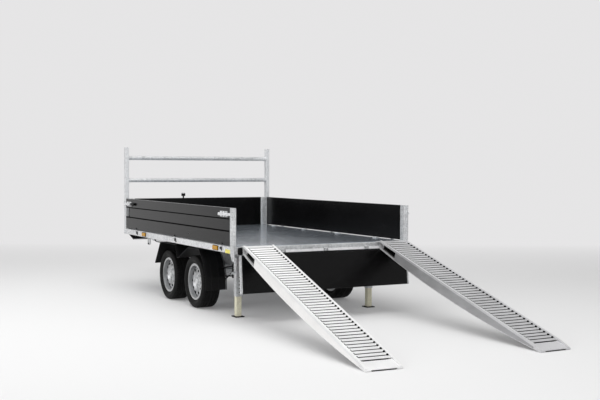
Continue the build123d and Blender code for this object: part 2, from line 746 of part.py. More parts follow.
def tyre():
    """One tyre about the Y axis, open on its inside."""
    half = TYRE_WIDTH / 2
    bead = RIM_WIDTH / 2 - RIM_WALL - 2 * CLEAR
    flange_r = RIM_R + 1.5
    shoulder_r = TYRE_R - SHOULDER_DROP
    crown_r = TYRE_R - TYRE_CROWN
    bulge_r = (flange_r + shoulder_r) / 2
    outside = [
        Line((BEAD_R, bead), (flange_r, bead)),
        ThreePointArc((flange_r, bead), (bulge_r, half), (shoulder_r, half - SHOULDER_IN)),
        Line((shoulder_r, half - SHOULDER_IN), (TYRE_R, TREAD_HALF)),
        Line((TYRE_R, TREAD_HALF), (TYRE_R, 0)),
    ]
    inside_bead, inside_half = bead - TYRE_WALL, half - TYRE_WALL
    inside = [
        Line((BEAD_R, bead), (BEAD_R, inside_bead)),
        Line((BEAD_R, inside_bead), (flange_r, inside_bead)),
        ThreePointArc((flange_r, inside_bead), (bulge_r, inside_half), (crown_r, inside_half - SHOULDER_IN)),
        Line((crown_r, inside_half - SHOULDER_IN), (crown_r, 0)),
    ]
    edges = outside + inside
    edges += [mirror(edge, about=Plane.XZ) for edge in outside + inside]
    return revolve(make_face(edges), Axis.Y)


def rim():
    """One steel rim about the Y axis, with its outside towards +Y."""
    half = RIM_WIDTH / 2
    seat = BEAD_R - CLEAR
    well = 146
    inner = [(half, seat - RIM_WALL - 2), (34, seat - 8), (24, well - RIM_WALL)]
    lip = half - RIM_WALL
    outer = [(half, RIM_R), (lip, RIM_R), (lip, seat), (36, seat - 3), (28, well)]
    ring = outer + [(-y, r) for y, r in reversed(outer)] + [(-y, r) for y, r in inner]
    barrel = spun(ring + list(reversed(inner)))
    dish = [(DISC_OUT, BORE_R), (DISC_OUT, 84), (50, 102), (44, 126), (15, well - RIM_WALL / 2)]
    plate = spun(dish + [(y + 6, r) for y, r in reversed(dish)])
    for i in range(HAND_HOLES):
        angle = 2 * 180 / HAND_HOLES * i
        hole = rod((HAND_HOLE_PCR, 0, 0), (HAND_HOLE_PCR, 90, 0), HAND_HOLE_R)
        plate -= Rot(0, angle, 0) * hole
    return barrel + plate


def beside(points, depth):
    """A line in X and Z moved to its right-hand side by depth, with mitred corners."""
    normals = [Vector(b[1] - a[1], a[0] - b[0]).normalized() for a, b in zip(points, points[1:])]
    moved = []
    for i, point in enumerate(points):
        near, far = normals[max(i - 1, 0)], normals[min(i, len(normals) - 1)]
        step = (near + far) * (depth / (1 + near.dot(far)))
        moved.append((point[0] + step.X, point[1] + step.Y))
    return moved


def mudguard():
    """A bent sheet over both left wheels, which dips between them."""
    line = [(WHEELS_X["rear"] + x, z) for x, z in GUARD_REAR]
    line += [(WHEELS_X["front"] + x, z) for x, z in GUARD_FRONT]
    return plate_xz(line + beside(line, GUARD_WALL)[::-1], (GUARD_IN, GUARD_OUT))


def guard_brackets():
    """A bent bar from each chassis rail to the top of its mudguard, above each wheel."""
    rail_y = LONG_Y + LONG_WIDTH / 2
    thick = GUARD_BRACKET_THICK
    top = max(z for x, z in GUARD_REAR) - GUARD_WALL
    bars = None
    for wheel_x, offset in zip(WHEELS_X.values(), GUARD_BRACKET):
        x = (wheel_x + offset, wheel_x + offset + GUARD_BRACKET_WIDTH)
        bar = block(x, (rail_y, rail_y + 5 + thick), (CHASSIS_TOP - thick, CHASSIS_TOP))
        bar += block(x, (rail_y + 5, rail_y + 5 + thick), (CHASSIS_TOP - thick, top))
        bar += block(x, (rail_y + 5, GUARD_IN + 60), (top - thick, top))
        bars = bar if bars is None else bars + bar
    return both_sides(bars)


def stand_sleeves():
    half = SLEEVE / 2
    bore = half - SLEEVE_WALL
    x, y = (STAND_X - half, STAND_X + half), (STAND_Y - half, STAND_Y + half)
    sleeve = block(x, y, SLEEVE_Z)
    sleeve -= block((STAND_X - bore, STAND_X + bore), (STAND_Y - bore, STAND_Y + bore), SLEEVE_Z)
    for i in range(SLEEVE_HOLES):
        z = SLEEVE_Z[0] + SLEEVE_HOLE_FIRST + i * SLEEVE_HOLE_PITCH
        sleeve -= rod((x[0], STAND_Y, z), (x[1], STAND_Y, z), SLEEVE_HOLE_R)
    return both_sides(sleeve)


def stand_leg():
    half = SLEEVE / 2 - SLEEVE_WALL - CLEAR
    leg = block((STAND_X - half, STAND_X + half), (STAND_Y - half, STAND_Y + half), (0, LEG_TOP))
    foot_x = (STAND_X - FOOT_LENGTH / 2, STAND_X + FOOT_LENGTH / 2)
    foot_y = (STAND_Y - FOOT_WIDTH / 2, STAND_Y + FOOT_WIDTH / 2)
    return leg + block(foot_x, foot_y, (0, FOOT_THICK))


def rear_lamps():
    depth, width, height = LAMP_SIZE
    x = (REAR_CROSS_X[0] - depth, REAR_CROSS_X[0])
    z = (REAR_CROSS_Z[0], REAR_CROSS_Z[0] + height)
    return both_sides(block(x, (LAMP_Y - width / 2, LAMP_Y + width / 2), z))


def pump_box():
    low = CHASSIS_LOW + DRAWBAR_HEIGHT
    body = block(PUMP_BOX_X, (-PUMP_BOX_HALF, PUMP_BOX_HALF), (low, low + PUMP_BOX_HEIGHT))
    return fillet(body.edges().filter_by(Axis.Z), 20)


# Tipping ram
# It is drawn along +X from its lower pin, and then turned to its rest angle.

RAM_LENGTH = hypot(RAM_EYE_X - RAM_X, RAM_EYE_Z - RAM_Z)
RAM_ANGLE = degrees(atan2(RAM_EYE_Z - RAM_Z, RAM_EYE_X - RAM_X))
BARREL_END = RAM_LENGTH - RAM_HEAD


def aimed(shape):
    return Pos(RAM_X, 0, RAM_Z) * Rot(0, -RAM_ANGLE, 0) * shape


def ram_barrel():
    body = rod((RAM_BASE_R + 6, 0, 0), (BARREL_END, 0, 0), BARREL_R)
    body -= rod((RAM_BASE_R + 20, 0, 0), (BARREL_END, 0, 0), STAGE_R[0] + CLEAR)
    body += rod((0, -RAM_HALF_WIDTH, 0), (0, RAM_HALF_WIDTH, 0), RAM_BASE_R)
    body += block((0, RAM_BASE_R + 10), (-RAM_HALF_WIDTH, RAM_HALF_WIDTH), (-RAM_BASE_R, RAM_BASE_R))
    body -= rod((0, -RAM_HALF_WIDTH, 0), (0, RAM_HALF_WIDTH, 0), RAM_PIN_R + PIN_CLEAR)
    return aimed(body)


def ram_stage(index):
    """A tube that slides in the stage outside it, around the next one."""
    inside = (STAGE_R + (ROD_R,))[index + 1]
    start = RAM_BASE_R + 24 + index * 4
    end = BARREL_END + (index + 1) * STAGE_STEP
    tube = rod((start, 0, 0), (end, 0, 0), STAGE_R[index])
    return aimed(tube - rod((start, 0, 0), (end, 0, 0), inside + CLEAR))


def ram_rod():
    body = rod((RAM_BASE_R + 34, 0, 0), (RAM_LENGTH, 0, 0), ROD_R)
    eye = rod((RAM_LENGTH, -EYE_HALF_WIDTH, 0), (RAM_LENGTH, EYE_HALF_WIDTH, 0), RAM_EYE_R)
    hole = rod((RAM_LENGTH, -EYE_HALF_WIDTH, 0), (RAM_LENGTH, EYE_HALF_WIDTH, 0), RAM_PIN_R)
    return aimed(body + eye - hole)


# Jockey wheel

def jockey_tube():
    top, bottom = JOCKEY_INNER_TOP, JOCKEY_FORK_TOP
    return rod((JOCKEY_X, JOCKEY_Y, bottom + CLEAR), (JOCKEY_X, JOCKEY_Y, top), JOCKEY_INNER_R)


def jockey_fork():
    """A castor fork whose wheel trails behind the tube."""
    half = JOCKEY_WHEEL_WIDTH / 2 + 4
    top, plate = JOCKEY_FORK_TOP, 5
    axle_x = JOCKEY_X - JOCKEY_TRAIL
    reach = half + plate
    crown = block((JOCKEY_X - 32, JOCKEY_X + 28), (JOCKEY_Y - reach, JOCKEY_Y + reach), (top - 6, top))
    outline = [
        (JOCKEY_X - 32, top),
        (JOCKEY_X + 28, top),
        (axle_x + 22, JOCKEY_WHEEL_R - 18),
        (axle_x - 22, JOCKEY_WHEEL_R - 18),
    ]
    for side in (-1, 1):
        near = JOCKEY_Y + side * half
        crown += plate_xz(outline, (near, near + side * plate))
    pin = rod(
        (axle_x, JOCKEY_Y - reach, JOCKEY_WHEEL_R), (axle_x, JOCKEY_Y + reach, JOCKEY_WHEEL_R), JOCKEY_PIN_R
    )
    return crown + pin


def jockey_wheel():
    half = JOCKEY_WHEEL_WIDTH / 2
    bore_r = JOCKEY_PIN_R + PIN_CLEAR
    outline = [(half, bore_r), (half, 60), (half - 6, 80), (half, 84), (half - 8, JOCKEY_WHEEL_R)]
    mirrored_half = [(-y, r) for y, r in reversed(outline)]
    return Pos(JOCKEY_X - JOCKEY_TRAIL, JOCKEY_Y, JOCKEY_WHEEL_R) * spun(outline + mirrored_half)


# Ramps
# Each is drawn with its toe at the origin, its walking face at Z = 0 and its top end towards +X.

RAMP_RUN = RAMP_TOP_X - RAMP_TOE_X
RAMP_TOP_Z = RAIL_TOP + CLEAR + TONGUE_THICK
NEAR_SLOPE = atan2(RAMP_TOP_Z - 2 * RAMP_NOSE_R, RAMP_RUN)
RAMP_TOE_Z = RAMP_NOSE_R * (1 + cos(NEAR_SLOPE) - sin(NEAR_SLOPE))
RAMP_SLOPE = degrees(atan2(RAMP_TOP_Z - RAMP_TOE_Z, RAMP_RUN))
RAMP_LENGTH = RAMP_RUN / cos(radians(RAMP_SLOPE))


def stringer():
    """A channel beam with a round nose and a curved lower edge, open towards +Y."""
    slant = tan(radians(RAMP_SLOPE))

    def outline(inset):
        end = RAMP_LENGTH - inset
        low_end = (end - RAMP_END_DEPTH * slant, inset - RAMP_END_DEPTH)
        middle = (RAMP_LENGTH * 0.55, inset - RAMP_MID_DEPTH)
        start = RAMP_POCKET_START if inset else RAMP_NOSE_R
        low_start = (start, -2 * RAMP_NOSE_R - inset)
        sides = [
            Line((start, -inset), (end, -inset)),
            Line((end, -inset), low_end),
            ThreePointArc(low_end, middle, low_start),
        ]
        if inset:
            sides.append(Line(low_start, (start, -inset)))
        else:
            sides.append(ThreePointArc(low_start, (0, -RAMP_NOSE_R), (start, 0)))
        return make_face(sides)

    beam = extrude(Plane.XZ * outline(0), RAMP_FLANGE, dir=(0, 1, 0))
    pocket = extrude(Plane.XZ * outline(RAMP_WEB), RAMP_FLANGE, dir=(0, 1, 0))
    return beam - Pos(0, RAMP_WEB, 0) * pocket


def ramp_body():
    half = RAMP_WIDTH / 2
    body = both_sides(Pos(0, half - RAMP_FLANGE, 0) * stringer())
    y = (-half + RAMP_FLANGE - RAMP_WEB / 2, half - RAMP_FLANGE + RAMP_WEB / 2)
    first, pitch = RAMP_TOE_LENGTH + RUNG_GAP, RUNG_WIDTH + RUNG_GAP
    count = int((RAMP_LENGTH - RAMP_TOP_LENGTH - first) // pitch)
    plates = [
        block((first + i * pitch, first + i * pitch + RUNG_WIDTH), y, (-RUNG_HEIGHT, -RUNG_DROP))
        for i in range(count)
    ]
    plates.append(block((RAMP_NOSE_R, RAMP_TOE_LENGTH), y, (-RAMP_PLATE - RUNG_DROP, -RUNG_DROP)))
    plates.append(block((RAMP_LENGTH - RAMP_TOP_LENGTH, RAMP_LENGTH - RAMP_PLATE), y, (-RAMP_PLATE, 0)))
    return Pos(0, 0, RAMP_TOE_Z) * Rot(0, -RAMP_SLOPE, 0) * (body + plates)


def ramp_tongue():
    """The lip that rests on the rear beam."""
    z = (RAMP_TOP_Z - TONGUE_THICK, RAMP_TOP_Z)
    return block((RAMP_RUN, RAMP_RUN + TONGUE_REACH), (-RAMP_WIDTH / 2, RAMP_WIDTH / 2), z)


# All pieces

pieces = {
    "chassis_rails": chassis_rails(),
    "chassis_crossmembers": chassis_crossmembers() + guard_brackets(),
    "rear_crossmember": rear_crossmember(),
    "ram_cradle": ram_cradle(),
    "drawbar_beams": drawbar_beams(),
    "coupling_head": coupling_head(),
    "jockey_outer": jockey_outer(),
    "mudguard_left": mudguard(),
    "mudguard_right": mirrored(mudguard()),
    "stand_sleeves": stand_sleeves(),
    "rear_lamps": rear_lamps(),
    "pump_box": pump_box(),
    "ram_barrel": ram_barrel(),
    "ram_stage_1": ram_stage(0),
    "ram_stage_2": ram_stage(1),
    "ram_rod": ram_rod(),
    "bed_side_rails": bed_side_rails(),
    "bed_end_beams": bed_end_beams(),
    "hinge_lugs": hinge_lugs(),
    "bed_crossmembers": bed_crossmembers(),
    "bed_longitudinals": bed_longitudinals(),
    "ram_bracket": ram_bracket(),
    "deck_plate": deck_plate(),
    "headboard": headboard(),
    "corner_posts": corner_posts(),
    "corner_buffers": corner_buffers(),
    "rack_posts": rack_posts(),
    "rack_rails": rack_rails(),
    "front_valance": front_valance(),
    "side_markers": side_markers(),
    "lashing_rings": lashing_rings(),
    "side_board_left": side_board(),
    "side_fittings_left": side_fittings(),
    "side_board_right": mirrored(side_board()),
    "side_fittings_right": mirrored(side_fittings()),
    "tailgate": tailgate(),
    "tailgate_lip": tailgate_lip(),
    "tailgate_fittings": tailgate_fittings(),
    "stand_leg_left": stand_leg(),
    "stand_leg_right": mirrored(stand_leg()),
    "jockey_tube": jockey_tube(),
    "jockey_fork": jockey_fork(),
    "jockey_wheel": jockey_wheel(),
}
for name, x in WHEELS_X.items():
    pieces[f"axle_{name}"] = axle(x)
    for side, turn in (("left", 0), ("right", 180)):
        place = Pos(x, WHEEL_Y if side == "left" else -WHEEL_Y, TYRE_R) * Rot(0, 0, turn)
        pieces[f"tyre_{name}_{side}"] = place * tyre()
        pieces[f"rim_{name}_{side}"] = place * rim()
for side, (top_y, toe_y) in RAMPS.items():
    place = Pos(RAMP_TOE_X, toe_y, 0) * Rot(0, 0, degrees(atan2(top_y - toe_y, RAMP_RUN)))
    pieces[f"ramp_{side}"] = place * ramp_body()
    pieces[f"ramp_tongue_{side}"] = place * ramp_tongue()

# The origin goes to the middle of the outline, at floor level
outline = Compound([solid for piece in pieces.values() for solid in piece.solids()]).bounding_box()
shift = Vector(-outline.center().X, -outline.center().Y, -outline.min.Z)
print(f"Moved by {shift.X:.3f}, {shift.Y:.3f}, {shift.Z:.3f}")
print(f"Ramp slope {RAMP_SLOPE:.3f}, ram angle {RAM_ANGLE:.3f}, ram length {RAM_LENGTH:.2f}")

os.makedirs("parts", exist_ok=True)
for name, piece in pieces.items():
    export_step(Pos(*shift) * Compound(piece.solids()), f"parts/{name}.step")
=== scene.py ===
# %% [markdown]
# # A tipping trailer, dressed around its CAD frame
# The CAD model gives every steel piece its place. This lesson lights it, gives each piece the finish
# that the real trailer has, and adds the small shapes that a solid model leaves out: tread, wheel
# nuts, rolled edges, latches and seams. All lengths are in metres.

# %% Load the frame
import json
from math import atan2, cos, pi, radians, sin

import bmesh
import bpy
import numpy as np
from mathutils import Matrix, Vector


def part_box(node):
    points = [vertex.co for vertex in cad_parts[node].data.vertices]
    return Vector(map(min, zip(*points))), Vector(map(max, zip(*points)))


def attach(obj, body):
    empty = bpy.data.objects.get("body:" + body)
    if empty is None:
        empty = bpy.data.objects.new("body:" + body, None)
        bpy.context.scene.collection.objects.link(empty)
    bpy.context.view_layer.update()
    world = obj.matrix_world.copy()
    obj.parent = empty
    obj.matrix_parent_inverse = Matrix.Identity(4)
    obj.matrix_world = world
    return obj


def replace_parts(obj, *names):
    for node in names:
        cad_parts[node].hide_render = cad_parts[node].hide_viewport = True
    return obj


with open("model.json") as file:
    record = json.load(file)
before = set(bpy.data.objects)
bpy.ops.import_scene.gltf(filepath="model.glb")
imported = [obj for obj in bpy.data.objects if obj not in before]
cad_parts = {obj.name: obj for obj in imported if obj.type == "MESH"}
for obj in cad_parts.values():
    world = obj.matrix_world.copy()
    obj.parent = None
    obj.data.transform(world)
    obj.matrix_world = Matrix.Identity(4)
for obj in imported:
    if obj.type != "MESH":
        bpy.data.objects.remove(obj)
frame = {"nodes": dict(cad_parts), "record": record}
nodes = frame["nodes"]
body_of = {}
for body, group in frame["record"]["behaviour"]["bodies"].items():
    body_of.update({node: body for node in group})
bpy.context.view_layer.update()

# %% [markdown]
# ## Where the trailer's own zero lies
# The trailer is easiest to describe from the rear face of its corner posts and its centreline. The
# frame's zero is under the middle of the whole outline, so one vector joins the two.

# %% The trailer's zero
post_low, post_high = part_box("corner_posts")
ZERO = Vector((post_low.x, (post_low.y + post_high.y) / 2, 0))
zero = np.array(ZERO)
print("rear face of the posts at x =", round(ZERO.x, 4))

# %% [markdown]
# ## Camera
# The photograph was taken from behind and a little to the left, at eye height. Its place, its three
# angles and its focal length come from fitting the tyres, the posts and the rack to the picture. A
# camera matrix is built from its right, up and back directions, so no constraint is needed.

# %% Camera
PHOTO_WIDTH, PHOTO_FOCUS = 600, 973.6
CAMERA_AT = (-7.946, 4.527, 1.395)
YAW, PITCH, ROLL = -0.4917, -0.0319, 0.0030

forward = Vector((cos(YAW) * cos(PITCH), sin(YAW) * cos(PITCH), sin(PITCH)))
level = Vector((sin(YAW), -cos(YAW), 0))
upright = level.cross(forward)
right = cos(ROLL) * level + sin(ROLL) * upright
up = cos(ROLL) * upright - sin(ROLL) * level

camera_data = bpy.data.cameras.new("photo_view")
camera_data.sensor_width = 36
camera_data.lens = PHOTO_FOCUS / PHOTO_WIDTH * camera_data.sensor_width
camera = bpy.data.objects.new("photo_view", camera_data)
facing = Matrix((right, up, -forward)).transposed().to_4x4()
camera.matrix_world = Matrix.Translation(ZERO + Vector(CAMERA_AT)) @ facing
bpy.context.scene.collection.objects.link(camera)
bpy.context.scene.camera = camera
bpy.context.scene.view_settings.view_transform = "Standard"
print("lens", round(camera_data.lens, 2), "mm")

# %% [markdown]
# ## Shader maths in plain Python
# A node tree is a formula drawn as boxes. A small class wraps one output socket and overloads the
# operators, so that `1 - mask * 0.3` adds the Math nodes by itself. Every other node comes from one
# method, which sets the node's settings first and then feeds its sockets.

# %% One socket that can be added and multiplied
class Wire:
    """One output socket, with the operators that add Math nodes behind it."""

    def __init__(self, finish, socket):
        self.finish, self.socket = finish, socket

    def maths(self, operation, *values):
        return self.finish.add("Math", {"operation": operation}, dict(enumerate(values)))

    def __add__(self, other):
        return self.maths("ADD", self, other)

    def __sub__(self, other):
        return self.maths("SUBTRACT", self, other)

    def __rsub__(self, other):
        return self.maths("SUBTRACT", other, self)

    def __mul__(self, other):
        return self.maths("MULTIPLY", self, other)

    def __abs__(self):
        return self.maths("ABSOLUTE", self)

    def clipped(self):
        return self.maths("MAXIMUM", self.maths("MINIMUM", self, 1.0), 0.0)

    def between(self, low, high):
        """0 below low, 1 above high and a straight slope from one to the other."""
        return ((self - low) * (1 / (high - low))).clipped()

    __radd__ = __add__
    __rmul__ = __mul__


# %% A finish is one Principled shader with a name
class Finish:
    """A material around one Principled shader, whose sockets are fed by name."""

    def __init__(self, name):
        self.material = bpy.data.materials.new(name)
        self.material.use_nodes = True
        self.tree = self.material.node_tree
        self.shader = self.tree.nodes["Principled BSDF"]

    def add(self, kind, settings, inputs, output=0):
        node = self.tree.nodes.new("ShaderNode" + kind)
        for key, value in settings.items():
            setattr(node, key, value)
        for key, value in inputs.items():
            self.feed(node.inputs[key], value)
        return Wire(self, node.outputs[output])

    def feed(self, socket, value):
        if isinstance(value, Wire):
            self.tree.links.new(value.socket, socket)
        else:
            socket.default_value = value

    def place(self, scale=(1, 1, 1)):
        """Object coordinates in metres, stretched by a scale along each axis."""
        spot = self.add("TexCoord", {}, {}, output="Object")
        return self.add("Mapping", {}, {"Vector": spot, "Scale": scale})

    def along(self, axis):
        """How far a point lies along X, Y or Z, in metres."""
        return self.add("SeparateXYZ", {}, {"Vector": self.place()}, output=axis)

    def noise(self, scale, detail=2.0, stretch=(1, 1, 1), rough=0.5):
        sizes = {"Vector": self.place(stretch), "Scale": scale, "Detail": detail, "Roughness": rough}
        return self.add("TexNoise", {}, sizes)

    def crystals(self, scale, stretch=(1, 1, 1)):
        """A random grey for every Voronoi cell, like the spangles of zinc."""
        cells = self.add("TexVoronoi", {}, {"Vector": self.place(stretch), "Scale": scale}, output="Color")
        return self.add("SeparateColor", {}, {"Color": cells})

    def blend(self, factor, low, high):
        """A colour between two others."""
        low = low if isinstance(low, Wire) else (*low, 1)
        high = high if isinstance(high, Wire) else (*high, 1)
        node = self.tree.nodes.new("ShaderNodeMix")
        node.data_type = "RGBA"
        for index, value in ((0, factor), (6, low), (7, high)):
            self.feed(node.inputs[index], value)
        return Wire(self, node.outputs[2])

    def relief(self, height, distance, strength=1.0):
        """A Bump node from a height, scaled to a distance in metres."""
        sizes = {"Height": height, "Distance": distance, "Strength": strength}
        return self.add("Bump", {}, sizes)

    def offset_from(self, point, direction):
        """How far a point lies from a given point, measured along a direction, in metres."""
        steps = [self.along(axis) * float(part) for axis, part in zip("XYZ", direction) if abs(part) > 1e-6]
        total = sum(steps[1:], steps[0])
        return total - float(np.dot(point, direction))

    def finish(self, **sockets):
        for name, value in sockets.items():
            if isinstance(value, tuple):
                value = (*value, 1)
            self.feed(self.shader.inputs[name.replace("_", " ")], value)
        return self.material


finishes = {}
print("a finish and its sockets can be wired")

# %% [markdown]
# ## Zinc: galvanised steel
# Hot-dip zinc freezes into spangles, crystals a few millimetres across that each reflect the light a
# little differently. A Voronoi pattern gives every crystal its own grey, and the same grey feeds the
# roughness, so that the pattern shows in the gloss as well. Wide soft noise adds the cloudy patches,
# and drips that ran down as the steel left the bath are noise stretched along Z.

# %% Galvanised steel, yellow zinc and bright bolts
def zinc(name, dark, light, spangle, gloss, metal, black=None):
    """Grey = crystal value mixed with cloud and drip noise; black(f) masks an iron or coated part."""
    f = Finish(name)
    crystal = f.crystals(spangle)
    cloud = f.noise(2.6, 5.0)
    blotch = f.noise(38.0, 3.0, rough=0.6)
    drip = f.noise(26.0, 3.0, (1, 1, 0.12))
    tone = (crystal * 0.42 + cloud * 0.80 + drip * 0.40 + blotch * 0.75 - 0.72).clipped()
    colour, metallic = f.blend(tone, dark, light), metal
    if black:
        mask = black(f)
        colour = f.blend(mask, colour, (0.012, 0.012, 0.013))
        metallic = (1 - mask) * metal
    return f.finish(
        Base_Color=colour,
        Metallic=metallic,
        Roughness=gloss + crystal * 0.10 + cloud * 0.16,
        Normal=f.relief(crystal * 0.6 + drip, 0.0002, 0.35),
    )


def is_brake_iron(f):
    """1 where a point lies further from the centreline than the trailing arms reach."""
    return abs(f.along("Y") - float(ZERO.y)).between(0.632, 0.635)


def is_coated_strap(f):
    """1 on the tailgate's hinge straps below the sill, which wear the board's black coat."""
    inner = 1 - abs(f.along("Y") - float(ZERO.y)).between(0.70, 0.71)
    return inner * (1 - f.along("Z").between(0.612, 0.614))


def is_board_strap(f):
    """1 on the hinge straps that lie on a side board, which wear its black coat, 0 on rail and latches."""
    height = f.along("Z")
    return height.between(0.692, 0.695) * (1 - height.between(0.90, 0.91))


ZINC_DARK, ZINC_LIGHT = (0.36, 0.37, 0.38), (0.86, 0.87, 0.88)
ZINCS = {
    "galvanised": (ZINC_DARK, ZINC_LIGHT, 105.0, 0.30, 0.50),
    "axle_zinc": (ZINC_DARK, ZINC_LIGHT, 105.0, 0.30, 0.50, is_brake_iron),
    "gate_zinc": (ZINC_DARK, ZINC_LIGHT, 105.0, 0.30, 0.50, is_coated_strap),
    "rack_zinc": ((0.66, 0.67, 0.68), (0.96, 0.96, 0.97), 105.0, 0.42, 0.15),
    "post_zinc": ((0.50, 0.51, 0.52), (0.84, 0.85, 0.86), 105.0, 0.38, 0.30),
    "rail_zinc": ((0.46, 0.47, 0.48), (0.93, 0.93, 0.94), 105.0, 0.38, 0.30),
    "side_zinc": ((0.50, 0.51, 0.52), (0.93, 0.93, 0.94), 105.0, 0.38, 0.30, is_board_strap),
    "leg_zinc": ((0.62, 0.59, 0.44), (0.94, 0.91, 0.72), 160.0, 0.36, 0.25),
    "bolt_zinc": ((0.50, 0.51, 0.52), (0.86, 0.87, 0.88), 300.0, 0.30, 0.45),
}
finishes.update({name: zinc(name, *numbers) for name, numbers in ZINCS.items()})
print("zinc finishes", sorted(finishes))

# %% [markdown]
# ## The deck sheet
# The deck is thin rolled sheet, so its zinc is far smoother than that of the welded frame: it mirrors
# the black boards and the white rack posts. Its spangles are faint, and boots and barrows have left
# long fine scratches that run along the bed. The dents of its crossmembers show as a slow swell.

# %% Deck sheet
def deck_sheet():
    """Grey = faint crystals and clouds; the relief is a slow swell for the crossmembers' dents and fine
    scratches.
    """
    f = Finish("deck_steel")
    crystal = f.crystals(60.0, (0.6, 1, 1))
    cloud = f.noise(1.4, 5.0)
    scratch = f.noise(130.0, 4.0, (0.06, 1, 1), 0.7).between(0.60, 0.72)
    swell = f.noise(2.6, 1.0, (1.0, 0.35, 1))
    tone = (crystal * 0.16 + cloud * 0.8 + scratch * 0.25 - 0.12).clipped()
    height = swell * 6.0 + crystal * 0.05 - scratch * 0.12
    return f.finish(
        Base_Color=f.blend(tone, (0.33, 0.375, 0.425), (0.60, 0.65, 0.71)),
        Metallic=0.78,
        Roughness=0.13 + crystal * 0.04 + cloud * 0.08 + scratch * 0.10,
        Normal=f.relief(height, 0.0012, 0.25),
    )


finishes["deck_steel"] = deck_sheet()
print("deck sheet ready")

# %% [markdown]
# ## Black boards
# The boards are nearly black, yet their outer face reads as grey in the photograph: it is seen at a
# low angle and its smooth coat mirrors the white studio. The inner faces mirror each other and stay
# black. So the colour is very dark and the gloss does the work. Fine orange peel scatters the
# highlight, dust lies in patches, and streaks along the boards are rubbed a little lighter.

# %% Coated boards
def board_coat():
    """A dark colour with thin dust, a roughness that follows the dust, and orange peel."""
    f = Finish("black_steel")
    cloud = f.noise(1.8, 5.0)
    dust = f.noise(9.0, 6.0, (0.4, 1, 1), 0.65).between(0.55, 0.85)
    rub = f.noise(60.0, 4.0, (0.08, 1, 1), 0.7).between(0.66, 0.80)
    peel = f.noise(330.0, 2.0)
    tone = (cloud * 0.5 + dust * 0.5 + rub * 0.5).clipped()
    return f.finish(
        Base_Color=f.blend(tone, (0.0012, 0.0012, 0.0013), (0.0050, 0.0050, 0.0054)),
        Roughness=0.20 + cloud * 0.08 + dust * 0.05 + rub * 0.04,
        Specular_IOR_Level=0.23,
        Normal=f.relief(peel, 0.00025, 0.35),
    )


finishes["black_steel"] = board_coat()
print("board coat ready")

# %% [markdown]
# ## Plastic and rubber
# Moulded plastic has a fine grain and rubber is the dullest. Both are the same recipe with other
# numbers: a dark colour with a soft cloud, a roughness that follows it, and a fine relief. The
# tyres' lighter tone is a dusty brown.

# %% Dark finishes
def dark(name, low, high, rough, grain, depth, shine=0.2):
    """Colour from a wide cloud and speckles, roughness around a middle value, relief from fine noise."""
    f = Finish(name)
    cloud = f.noise(4.2, 5.0)
    fine = f.noise(grain, 3.0)
    speckle = f.noise(160.0, 5.0, rough=0.7).between(0.58, 0.80)
    tone = (cloud * 0.7 + speckle * 0.5 - 0.1).clipped()
    return f.finish(
        Base_Color=f.blend(tone, low, high),
        Roughness=rough + cloud * 0.14 + speckle * 0.08 - 0.08,
        Specular_IOR_Level=shine,
        Normal=f.relief(fine, depth, 0.6),
    )


DARK_FINISHES = {
    "black_plastic": ((0.0018, 0.0018, 0.0020), (0.008, 0.008, 0.0085), 0.50, 800, 0.0004, 0.20),
    "tyre_rubber": ((0.0026, 0.0026, 0.0028), (0.012, 0.0116, 0.011), 0.62, 520, 0.0005, 0.18),
    "rubber": ((0.004, 0.004, 0.0045), (0.014, 0.014, 0.0145), 0.60, 600, 0.0005, 0.25),
    "ram_steel": ((0.008, 0.008, 0.0085), (0.020, 0.020, 0.022), 0.34, 300, 0.0003, 0.45),
    "black_wire": ((0.002, 0.002, 0.002), (0.006, 0.006, 0.006), 0.45, 700, 0.0002, 0.30),
    "deep_shade": ((0.0010, 0.0010, 0.0010), (0.0025, 0.0025, 0.0025), 0.90, 700, 0.0002, 0.02),
}
for name, numbers in DARK_FINISHES.items():
    finishes[name] = dark(name, *numbers)
print("dark finishes ready,", len(finishes), "in all")

# %% [markdown]
# ## Silver lacquer, aluminium, chrome and lenses
# The rims carry a silver lacquer whose flakes sparkle, which fine noise in the colour imitates. The
# ramps are bare extrusions: their draw lines run along X, so the noise is squeezed across and
# stretched along them. Lenses are clear gloss over colour with ribs moulded on the inside.

# %% Silver lacquer on the rims
def lacquer():
    """Silver flakes: fine noise lifts the colour, a coat adds the clear layer."""
    f = Finish("wheel_silver")
    flakes = f.noise(1500, 2.0)
    cloud = f.noise(6.0, 3.0)
    dust = f.noise(30.0, 5.0, rough=0.7).between(0.5, 0.9)
    tone = (flakes * 0.5 + cloud * 0.6 - dust * 0.25).clipped()
    return f.finish(
        Base_Color=f.blend(tone, (0.26, 0.265, 0.27), (0.62, 0.63, 0.64)),
        Metallic=0.75,
        Roughness=0.24 + cloud * 0.1 + dust * 0.12,
        Coat_Weight=0.35,
        Coat_Roughness=0.15,
        Normal=f.relief(flakes, 0.0002, 0.3),
    )


finishes["wheel_silver"] = lacquer()
print("lacquer ready")


# %% Drawn aluminium
def extrusion(name, tones, painted_shade=None):
    """Drawn aluminium: long thin noise along the extrusion; an optional mask marks where shade is painted,
    dull and dark.
    """
    f = Finish(name)
    lines = f.noise(300, 3.0, (0.03, 1, 0.12))
    cloud = f.noise(5.0, 4.0)
    scuff = f.noise(45.0, 5.0, (0.5, 1, 1), 0.7).between(0.58, 0.80)
    tone = (lines * 0.4 + cloud * 0.7 - scuff * 0.25 + 0.08).clipped()
    colour = f.blend(tone, *tones)
    metallic, rough = 0.45, 0.28 + lines * 0.12 + cloud * 0.12 + scuff * 0.1
    if painted_shade:
        # Under the mask the metal turns near-black and dull: painted shade below the walking face.
        mask = painted_shade(f)
        colour = f.blend(mask, colour, (0.035, 0.034, 0.033))
        metallic, rough = (1 - mask) * 0.45, rough + mask * 0.3
    relief = f.relief(lines - scuff * 0.4, 0.0003, 0.4)
    return f.finish(Base_Color=colour, Metallic=metallic, Roughness=rough, Normal=relief)


